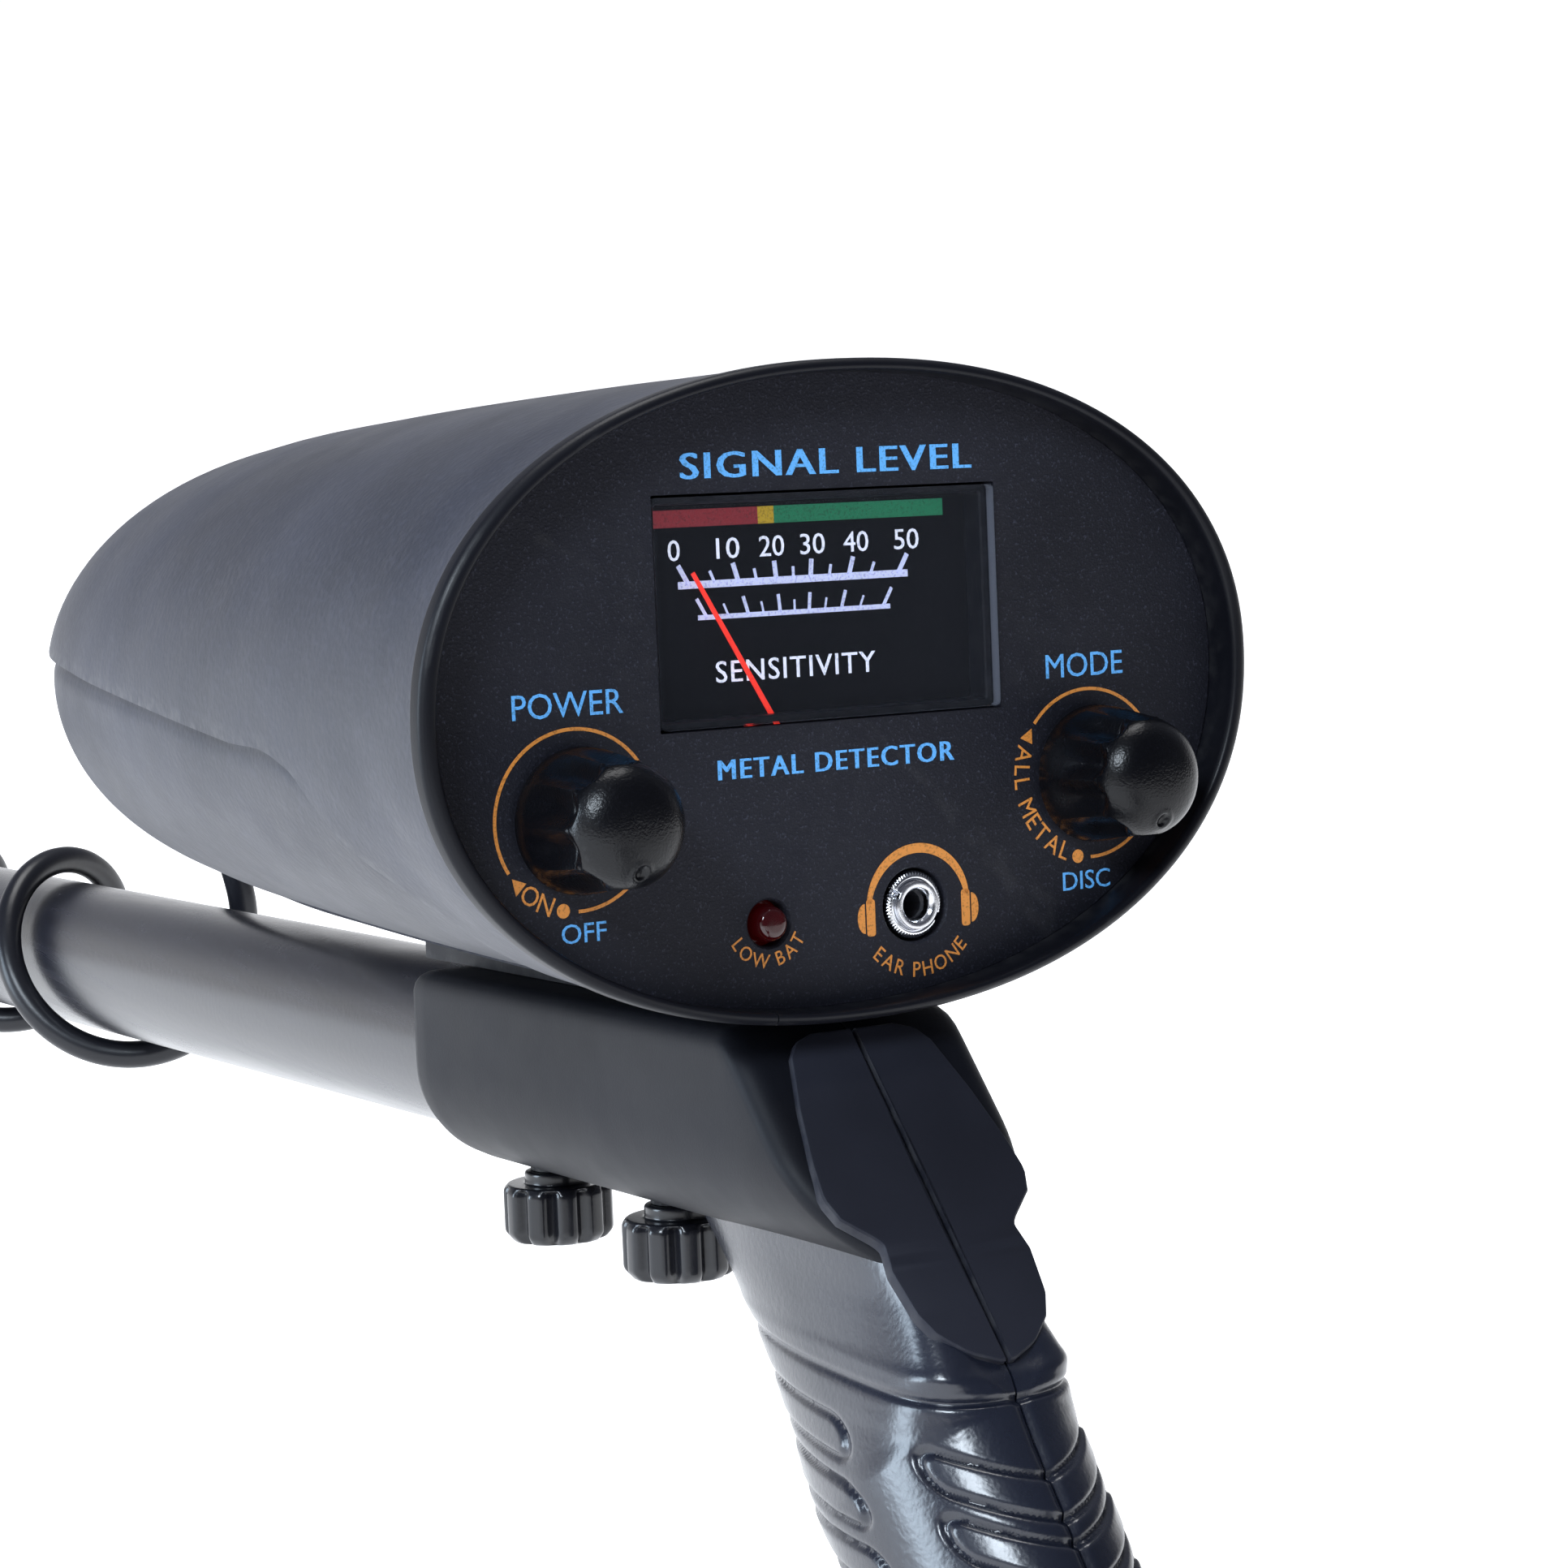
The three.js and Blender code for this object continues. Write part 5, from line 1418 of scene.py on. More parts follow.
        for node, finish in (
            ("meter_housing", RIM), ("meter_dial", DIAL), ("meter_works", CHROME), ("power_shaft", STEEL),
            ("power_potentiometer", STEEL), ("mode_shaft", STEEL), ("mode_potentiometer", STEEL),
            ("phone_jack", FITTING), ("circuit_board", BOARD), ("speaker", FITTING), ("battery_left", CELL),
            ("battery_right", CELL), ("battery_holder", FITTING), ("coil_socket", STEEL),
        ):
            self.dress(node, finish)


# ------------------------------------------------------------------ handle


@dataclass
class Handle(Assembly):
    """The two-part sleeve on the stem, the ribbed grip under it, the thumb screws and the arm tube."""

    half_width: float = 17.0
    top: float = 13.4
    keel: float = 15.2
    bore: float = 12.8
    front: float = 91.0
    plug_end: float = 7.7
    slope: float = math.radians(49.1)
    slope_top: float = 12.4
    seam: float = 0.15
    screws: Tuple[float, float] = (79.0, 45.0)
    grip_start: Tuple[float, float] = (-0.4, -16.0)
    grip_end: Tuple[float, float] = (-72.0, -114.0)
    bend: float = 45.0
    rear: float = -128.0
    width: float = 14.7
    depth: float = 19.0
    tube_radius: float = 11.0
    rib_pitch: float = 6.7
    pad_widths: Tuple[Tuple[float, float], ...] = (
        (0, 6.0), (1, 8.7), (3, 10.2), (10.5, 12.4), (18, 14.0), (23, 14.6), (26, 13.6), (29.5, 9.9),
        (30.5, 9.4),
        (34, 10.0), (40, 9.2), (43, 7.8), (46, 4.6), (47.6, 1.0),
    )

    def grip_line(self) -> Array:
        """The grip's middle line: straight down and back, then an arc that ends level, then straight to the
        rear."""
        start, end = np.array(self.grip_start), np.array(self.grip_end)
        along = (end - start) / np.linalg.norm(end - start)
        middle = end + self.bend * np.array([along[1], -along[0]])
        turn = math.pi / 2 - math.atan2(-along[1], -along[0])
        angle = np.linspace(math.pi / 2 - turn, 0.0, 24)
        arc = middle + self.bend * np.stack([np.sin(angle), -np.cos(angle)], axis=-1)
        line = np.concatenate([start + (end - start) * np.linspace(0, 0.98, 40)[:, None], arc,
                               [[self.rear, arc[-1, 1]]]])
        return line

    def tube_z(self) -> float:
        """The height of the arm tube's axis, where the grip's line ends."""
        return float(self.grip_line()[-1, 1])

    def contour(self, inset: float, count: int = 49) -> Array:
        """Half of the sleeve's section, from the seam on top to the seam below, as (x, z): a flat top, an
        eased corner, a flat side and a quarter of an oval."""
        w, t = self.half_width - inset, self.top - inset
        top = eased([(self.seam, t, 0), (w, t, 3.0), (w, 0.0, 0)], 9, closed=False)
        angle = np.linspace(0.0, math.pi / 2, 26)[1:]
        round_off = np.stack([w * np.cos(angle), -(self.keel - inset) * np.sin(angle)], axis=-1)
        round_off[-1, 0] = self.seam
        line = refined(np.concatenate([top, round_off]), 1.2)
        arc = np.concatenate([[0.0], np.cumsum(np.linalg.norm(np.diff(line, axis=0), axis=1))])
        at = np.linspace(0.0, arc[-1], count)
        return np.stack([np.interp(at, arc, line[:, 0]), np.interp(at, arc, line[:, 1])], axis=-1)

    def sleeve(self, side: Side) -> bpy.types.Mesh:
        """Half of the sleeve, from the slope to a rounded front edge, with the bore and the screws' holes
        cut out. Each row is the section, moved in where an edge is rounded; the first rows lie along the
        slope."""
        cut = 1.0 - self.slope_top * math.cos(self.slope)
        turn = np.linspace(0.0, math.pi / 2, 9)
        fillet = [(3.6 * (1 - math.sin(a)), 3.6 * (1 - math.cos(a)), 0.0) for a in turn]
        rows = []
        for inset, offset, share in fillet + [(0.0, 3.6, 0.3), (0.0, 3.6, 0.65), (0.0, 3.6, 1.0)]:
            line = self.contour(inset)
            back = (cut + math.cos(self.slope) * line[:, 1]) / math.sin(self.slope) + offset
            rows.append(np.column_stack([line[:, 0], back + (self.plug_end + 0.2 - back) * share,
                                         line[:, 1]]))
        for y, inset in zip((12, 20, 30, 45, 60, 72, 84, 87, 88.6, 89.8, 90.6, self.front),
                            (0, 0, 0, 0, 0, 0, 0, 0.15, 0.6, 1.4, 2.4, 3.6)):
            line = self.contour(inset)
            line = line * np.maximum(1.0, (self.bore + 0.25) / np.linalg.norm(line, axis=1, keepdims=True))
            line[:, 0] = np.maximum(line[:, 0], self.seam)
            rows.append(np.column_stack([line[:, 0], np.full(len(line), y), line[:, 1]]))
        solid = self.mirrored(Skin().solid(rows), side)
        bore = np.array([[0, self.plug_end], [self.bore, self.plug_end], [self.bore, 95.0], [0, 95.0]])
        cutters = [Skin().turned(bore, 96).mesh("bore", STEM)]
        hole = np.array([[0, -25], [4.4, -25], [4.4, -5], [0, -5.0]])
        for y in self.screws:
            cutters.append(Skin().turned(hole, 40).mesh("screw_hole", STEM.moved(0, y, 0).upright()))
        return carved(solid.mesh("sleeve", STEM), cutters)

    @staticmethod
    def mirrored(skin: Skin, side: Side) -> Skin:
        """The skin as drawn on the right, or its reflection in the seam's plane on the left."""
        return skin.mirror() if side is Side.LEFT else skin

    def pad(self, side: Side) -> Skin:
        """Half of the flat pad on the slope: its half widths down the slope, an upper edge, and a seam, in
        three rings of which the outer one is drawn in for a fine bevel."""
        d = np.concatenate([np.linspace(0.0, 3.0, 8), np.linspace(3.6, 25.5, 22), np.linspace(26.0, 31.0, 9),
                            np.linspace(32.0, 47.6, 24)])
        w = np.interp(d, [p[0] for p in self.pad_widths], [p[1] for p in self.pad_widths])
        outline = np.concatenate([np.stack([w, d], axis=-1), [[0.35, 47.6], [0.35, 24.0], [0.35, 0.0]]])
        middle = np.array([4.0, 22.0])
        rings = []
        for inset, up in ((0.0, -1.6), (0.0, -0.3), (0.22, -0.06), (0.5, 0.0)):
            line = drawn_in(outline, middle, inset)
            y = -line[:, 1] * math.cos(self.slope) - up * math.sin(self.slope)
            z = self.slope_top - line[:, 1] * math.sin(self.slope) + up * math.cos(self.slope)
            rings.append(np.column_stack([line[:, 0], y, z]))
        skin = Skin().sheet(np.array(rings), True)
        for ring in (rings[0], rings[-1]):
            spine = ring.copy()
            spine[:, 0] = ring[:, 0].min()
            skin.strip(ring, spine, wrap=True)
        return self.mirrored(skin, side)

    def grip(self, side: Side) -> Skin:
        """Half of the grip. Each row joins a back point to a front point round a half ellipse; rows start
        along the sleeve's underside and turn square to the grip's line. A groove marks the collar, and
        outlines of rounded ribs are pressed in: the distance to a rib's outline sets the groove's depth by a
        bell curve."""
        line = self.grip_line()
        arc = np.concatenate([[0.0], np.cumsum(np.linalg.norm(np.diff(line, axis=0), axis=1))])
        total = float(arc[-1])
        neck = np.array([  # station, back y, z, front y, z, half width
            (0, -20.0, -11.5, 37, -12.5, 10.4), (5, -24.4, -16.4, 32.5, -16.5, 10.4),
            (10, -26.6, -18.9, 25.5, -22.5, 10.8),
            (16, -29.2, -22.0, 16.5, -31.0, 11.6), (22, -31.6, -25.1, 8.6, -40.2, 12.7),
            (27, -33.3, -27.6, 2.6, -47.6, 13.9), (30, -34.0, -29.2, -1.7, -51.8, 14.6),
        ])
        t = np.concatenate([np.linspace(0, 28, 120, endpoint=False), np.linspace(28, total - 2.2, 560),
                            total - np.array([1.5, 0.9, 0.4, 0.1, 0.0])])
        tangent = np.gradient(line, axis=0)
        tangent /= np.linalg.norm(tangent, axis=1, keepdims=True)
        at = np.stack([np.interp(t, arc, line[:, i]) for i in (0, 1)], axis=-1)
        ahead = np.stack([np.interp(t, arc, tangent[:, i]) for i in (0, 1)], axis=-1)
        ahead /= np.linalg.norm(ahead, axis=1, keepdims=True)
        square = np.stack([ahead[:, 1], -ahead[:, 0]], axis=-1)
        back, front = at + self.depth * square, at - self.depth * square
        width = np.full(len(t), self.width)
        upper = along_line(neck[:, 1:], neck[:, 0], np.clip(t, 0, 30))
        share = smooth_step(27.0, 33.0, t)[:, None]
        back = upper[:, 0:2] * (1 - share) + back * share
        front = upper[:, 2:4] * (1 - share) + front * share
        width = upper[:, 4] * (1 - share[:, 0]) + width * share[:, 0]
        phi = np.linspace(0.0, math.pi, 145)[None, :]
        middle, half = (back + front) / 2, (back - front) / 2
        lean = 1.0 - 0.25 * (1.0 - smooth_step(0.0, 30.0, t))[:, None] * (0.5 - 0.5 * np.cos(phi))
        boxy = 0.30 + 0.62 * smooth_step(19.0, 31.0, t)[:, None]
        out = np.sin(phi) ** np.where(phi < math.pi / 2, boxy, 0.92)
        u = phi * 0.5 * (self.width + self.depth)
        at = middle[:, None] + half[:, None] * (np.cos(phi) + 0 * t[:, None])[..., None]
        press = self.pressed(at[..., 0], at[..., 1], u)
        end = 1.0 - 0.12 * smooth_step(total - 2.2, total, t)[:, None] ** 2
        reach = end * (1.0 - press / 16.0)
        x = self.seam + width[:, None] * out * lean * reach
        yz = middle[:, None] + half[:, None] * (np.cos(phi) * reach)[..., None]
        grid = np.concatenate([x[..., None], yz], axis=-1)
        skin = Skin().solid(grid)
        return self.mirrored(skin, side)

    def pressed(self, y: Array, z: Array, u: Array) -> Array:
        """How deep the surface lies at (y, z), u millimetres round from the back seam: the collar is a
        groove under a low ridge; ribs are outlines whose rows drop towards the seam."""
        around = math.pi * 0.5 * (self.width + self.depth)
        seam = 0.45 * (bell(u, 0.55) + bell(around - u, 0.55))
        drop = 0.03 * (y + 34.0) - 27.7 - z
        collar = 0.6 * bell(drop, 0.5) - 0.18 * bell(drop + 2.4, 0.9)
        collar = collar - 0.10 * smooth_step(0.4, 1.6, drop) * (1.0 - smooth_step(3.0, 5.0, drop))
        row = drop + 0.2 * np.minimum(u, 16.0) - 10.2
        across = (row - self.rib_pitch * np.clip(np.round(row / self.rib_pitch), 0, 8)) / 0.88
        press = seam + collar
        for start in (np.maximum(u - 12.4, 0.0), np.maximum(26.8 - u, 0.0)):
            away = np.hypot(start, across) - 2.4
            press = press + 0.62 * bell(away, 0.5) - 0.16 * smooth_step(0.4, -0.8, away)
        return press

    def screw(self) -> Skin:
        """A thumb screw: a head with ten deep flutes, a chamfered end, and a plain neck."""
        line = eased([(0, -25.6, 0), (6.6, -25.6, 0.7), (7.7, -24.3, 0.5), (7.7, -18.4, 0.4),
                      (7.1, -17.5, 0.3),
                      (4.6, -17.5, 0.3), (4.6, -15.8, 0.4), (3.0, -15.6, 0.2), (3.0, -15.0, 0.2),
                      (0, -15.0, 0)],
                     closed=False)
        line = refined(line, 0.4)

        def fluted(radius: Array, y: Array, angle: Array) -> Array:
            """Narrow valleys between broad lobes on the head's rim."""
            valley = (0.5 + 0.5 * np.cos(10.0 * angle)) ** 3
            cut = 1.25 * valley * smooth_step(5.4, 7.3, radius)
            return radius - cut * (1.0 - smooth_step(-18.2, -17.6, y))

        return Skin().turned(line, 160, fluted)

    def build(self) -> None:
        """Makes the handle."""
        for side, word in ((Side.LEFT, "left"), (Side.RIGHT, "right")):
            self.add(f"sleeve_{word}", self.sleeve(side), MATTE, [f"handle_{word}"])
            self.add(f"slope_pad_{word}", self.pad(side), PAD)
            self.add(f"grip_{word}_ribbed", self.grip(side), GRIP, [f"grip_{word}"], crease=48.0)
        for word, y in (("front", self.screws[0]), ("rear", self.screws[1])):
            place = STEM.moved(0.0, y, 0.0).upright()
            self.add(f"thumb_screw_{word}_fluted", self.screw(), SCREW, [f"thumb_screw_{word}"],
                     f"{word}_screw", place)
            self.dress(f"clamp_shoe_{word}", RUBBER)
        z, r = self.tube_z(), self.tube_radius
        tube = eased([(r - 1.5, -335, 0.2), (r, -335, 0.3), (r, -100, 0.2), (r - 1.5, -100, 0.2)], 3)
        tube = looped(tube)
        self.add("arm_tube_coated", Skin().turned(refined(tube, 24.0), 96, at=(0, 0, z)), TUBE, ["arm_tube"])
        cap = eased([(0, -338, 0), (r, -338, 1.2), (r, -335.3, 0.2), (9.2, -335.3, 0), (9.2, -325, 0.5),
                     (0, -325, 0)],
                    closed=False)
        self.add("arm_tube_cap_domed", Skin().turned(cap, 72, at=(0, 0, z)), RUBBER, ["arm_tube_cap"])


# ------------------------------------------------------------------ stem


@dataclass
class Stem(Assembly):
    """The upper and lower tubes, the twist lock between them and the fork at the bottom."""

    upper: Tuple[float, float, float, float] = (12.5, 11.3, 8.0, 430.0)
    lower: Tuple[float, float, float, float] = (11.0, 9.8, 300.0, 742.0)
    hinge: float = 760.0
    bolt: float = 4.4

    @staticmethod
    def tube(size: Tuple[float, float, float, float]) -> Skin:
        """A tube along Y with its four edges broken, rows every 24 mm."""
        outer, bore, y0, y1 = size
        ring = eased([(bore, y0, 0.15), (outer, y0, 0.35), (outer, y1, 0.35), (bore, y1, 0.15)], 3)
        return Skin().turned(refined(looped(ring), 24.0), 96)

    def lock_body(self) -> Skin:
        """The collar glued on the upper tube, with a stepped nose that the nut turns on."""
        end = self.upper[3]
        ring = eased([(12.8, end - 14, 0.1), (16.0, end - 14, 0.9), (16.5, end - 11.5, 0.5), (16.5, end, 0.3),
                      (14.4, end, 0.1), (14.4, end + 14, 0.4), (11.9, end + 14, 0.2), (11.9, end + 0.5, 0),
                      (12.8, end + 0.5, 0)], 4)
        line = refined(looped(ring), 1.0)

        def ringed(radius: Array, y: Array, angle: Array) -> Array:
            """Two fine grooves round the collar."""
            groove = bell(y - end + 9.0, 0.45) + bell(y - end + 4.0, 0.45)
            return radius - 0.35 * groove * smooth_step(15.0, 16.0, radius)

        return Skin().turned(line, 96, ringed)

    def lock_nut(self) -> Skin:
        """The twist nut: a hollow ring with eighteen grooves for the fingers and a tapering nose."""
        end = self.upper[3]
        ring = eased([(14.8, end + 0.5, 0.1), (16.4, end + 0.5, 0.4), (17.0, end + 1.5, 0.3),
                      (17.0, end + 23.6, 0.6),
                      (15.0, end + 28, 1.0), (11.5, end + 28, 0.3), (11.5, end + 16, 0.1),
                      (14.8, end + 16, 0.1)], 4)
        line = refined(looped(ring), 0.8)

        def grooved(radius: Array, y: Array, angle: Array) -> Array:
            """Finger grooves that fade out towards both ends."""
            groove = (0.5 + 0.5 * np.cos(18.0 * angle)) ** 2
            band = smooth_step(end + 2.5, end + 5.5, y) * (1.0 - smooth_step(end + 20.5, end + 23.0, y))
            return radius - 0.8 * groove * band * smooth_step(16.2, 16.9, radius)

        return Skin().turned(line, 216, grooved)

    def fork(self) -> bpy.types.Mesh:
        """The plug in the lower tube and its flat tongue, rounded about the hinge, with the bolt's hole."""
        plug = eased([(0, 712, 0), (9.5, 712, 0.6), (9.5, 741.7, 0), (11.0, 742.3, 0.3), (11.6, 744.8, 0.6),
                      (0, 745.2, 0)], 4, closed=False)
        skin = Skin().turned(plug, 72)
        angle = np.linspace(math.pi / 2, -math.pi / 2, 40)
        side = np.stack([self.hinge + 11.5 * np.cos(angle), 11.5 * np.sin(angle)], axis=-1)
        outline = np.concatenate([side, [[749.0, -11.2], [744.4, -9.4], [744.4, 9.4], [749.0, 11.2]]])
        middle = outline.mean(axis=0)
        rows = []
        for x, inset in ((-7.0, 0.5), (-6.6, 0.0), (6.6, 0.0), (7.0, 0.5)):
            ring = drawn_in(outline, middle, inset)
            rows.append(np.column_stack([np.full(len(ring), x), ring]))
        skin.solid(rows)
        hole = Skin().rod(self.bolt, -20, 20, 40)
        return carved(skin.mesh("fork", STEM), [hole.mesh("hole", STEM.moved(0, self.hinge, 0).sideways())])

    def build(self) -> None:
        """Makes the stem."""
        self.add("upper_stem_coated", self.tube(self.upper), TUBE, ["upper_stem"])
        self.add("lower_stem_coated", self.tube(self.lower), TUBE, ["lower_stem"], "lower_stem")
        self.add("lock_body_ringed", self.lock_body(), FITTING, ["lock_body"])
        self.add("lock_nut_grooved", self.lock_nut(), FITTING, ["lock_nut"], "lock_nut")
        self.add("stem_fork_tongue", self.fork(), FITTING, ["stem_fork"], "lower_stem")


# ------------------------------------------------------------------ search coil


@dataclass
class SearchCoil(Assembly):
    """The dish with its ears, the sealed underside, the windings, and the hinge's bolt, nut and washers."""

    body: str = "coil"
    radius: float = 105.0
    ears: Tuple[float, float] = (9.3, 15.3)
    gland_y: float = 35.0

    def dish(self) -> bpy.types.Mesh:
        """The dish: a closed profile turned about its upright axis, with a raised boss and six fine ribs on
        top, and a hole for the lead."""
        r = self.radius
        outer = eased([(0, -22.0, 0), (33.5, -22.0, 1.2), (39.5, -24.2, 1.6), (60, -24.2, 0.5),
                       (96, -24.6, 2.0),
                       (102, -26, 2.0), (r, -30, 1.6), (r, -34, 0.6), (r - 1, -35.4, 0.3),
                       (r - 3, -35.4, 0.2),
                       (r - 3, -31, 0.5), (r - 6, -28, 1), (r - 11, -27, 1), (0, -26.5, 0)], closed=False)
        line = refined(outer, 2.0)
        grid = turned(line, 288)
        around = np.arctan2(grid[..., 0], grid[..., 2])
        reach = np.hypot(grid[..., 0], grid[..., 2])
        up = grid[..., 1] > -25.2
        ring = bell(reach - 68.0, 0.8) + bell(reach - 92.0, 0.8)
        spoke = np.exp(-((np.mod(around + TAU / 12, TAU / 6) - TAU / 12) * reach / 1.1) ** 2)
        spoke = spoke * smooth_step(45.0, 48.0, reach) * (1.0 - smooth_step(62.0, 65.0, reach))
        grid[..., 1] += up * (spoke * 0.7 - ring * 0.55)
        skin = Skin().sheet(grid, True)
        dish = skin.mesh("dish", COIL.upright())
        cutters = [Skin().rod(3.4, -40, -10, 32)
                   .mesh("lead_hole", COIL.moved(0, self.gland_y, 0).upright())]
        return carved(dish, cutters)

    def ear(self, side: Side) -> bpy.types.Mesh:
        """One ear: rounded about the hinge, widening to its base, with broken edges and the bolt's hole."""
        angle = np.linspace(math.pi, 0.0, 44)
        top = np.stack([12.0 * np.cos(angle), 12.0 * np.sin(angle)], axis=-1)
        outline = np.concatenate([top, [[13.6, -12.0], [18.0, -23.4], [-18.0, -23.4], [-13.6, -12.0]]])
        middle = np.array([0.0, -8.0])
        rows = []
        for x, inset in ((self.ears[0], 0.4), (self.ears[0] + 0.4, 0.0), (self.ears[1] - 0.9, 0.0),
                         (self.ears[1], 0.9)):
            ring = drawn_in(outline, middle, inset)
            rows.append(np.column_stack([np.full(len(ring), x * side.value), ring]))
        skin = Skin().solid(rows)
        hole = Skin().rod(4.4, -30, 30, 40)
        return carved(skin.mesh("ear", COIL), [hole.mesh("hole", COIL.sideways())])

    def build(self) -> None:
        """Makes the coil."""
        self.add("coil_dish", self.dish(), COIL_SKIN, ["coil_top"])
        self.add("coil_ear_left", self.ear(Side.LEFT), COIL_SKIN)
        self.add("coil_ear_right", self.ear(Side.RIGHT), COIL_SKIN)
        sole = refined(eased([(0, -38, 0), (102.5, -38, 1.0), (104, -36.8, 0.5), (104, -35.7, 0.2),
                              (0, -35.7, 0)],
                             closed=False), 4.0)
        self.add("coil_sole", Skin().turned(sole, 288), COIL_SKIN, ["coil_underside"], place=COIL.upright())
        self.dress("transmit_winding", COPPER)
        self.dress("receive_winding", COPPER)
        gland = refined(eased([(2.7, -25, 0), (3.1, -25, 0), (3.1, -21.7, 0), (7, -21.7, 0.4),
                               (6.5, -17, 1.2),
                               (4.4, -10, 0.8), (3.9, -9, 0.3), (2.7, -9, 0.1)]), 0.4)
        gland = looped(gland)

        def ringed(radius: Array, y: Array, angle: Array) -> Array:
            """Flexible rings on the gland's cone."""
            return radius - 0.4 * (0.5 + 0.5 * np.cos(y * TAU / 2.1)) ** 2 * smooth_step(3.2, 3.9, radius)

        place = COIL.moved(0.0, self.gland_y, 0.0).upright()
        self.add("coil_gland_ringed", Skin().turned(gland, 72, ringed), RUBBER, ["coil_gland"], place=place)
        across = COIL.sideways()
        bolt = eased([(0, -20, 0), (6.8, -20, 1.2), (8, -18.6, 0.6), (8, -15.6, 0.2), (4, -15.6, 0),
                      (4, 24, 0.5),
                      (0, 24, 0)], closed=False)
        self.add("coil_bolt_domed", Skin().turned(refined(bolt, 2.0), 72), SCREW, ["coil_bolt"], place=across)
        nut = refined(eased([(4.3, 15.6, 0), (9.6, 15.6, 0.4), (10.5, 16.8, 0.5), (10.5, 25.2, 0.8),
                             (9.0, 27, 0.8),
                             (4.3, 27, 0.2)]), 0.6)
        nut = looped(nut)

        def winged(radius: Array, y: Array, angle: Array) -> Array:
            """Eight scallops round the nut."""
            return radius - 1.3 * (0.5 + 0.5 * np.cos(8.0 * angle)) ** 2 * smooth_step(8.0, 9.6, radius)

        self.add("coil_nut_winged", Skin().turned(nut, 160, winged), SCREW, ["coil_nut"], "coil_nut", across)
        for word, x0, x1 in (("left", -9.0, -7.3), ("right", 7.3, 9.0)):
            ring = eased([(4.4, x0, 0.1), (10, x0, 0.4), (10, x1, 0.4), (4.4, x1, 0.1)], 4)
            line = looped(ring)
            self.add(f"washer_{word}_soft", Skin().turned(line, 72), RUBBER, [f"washer_{word}"], "lower_stem",
                     across)


# ------------------------------------------------------------------ arm cuff


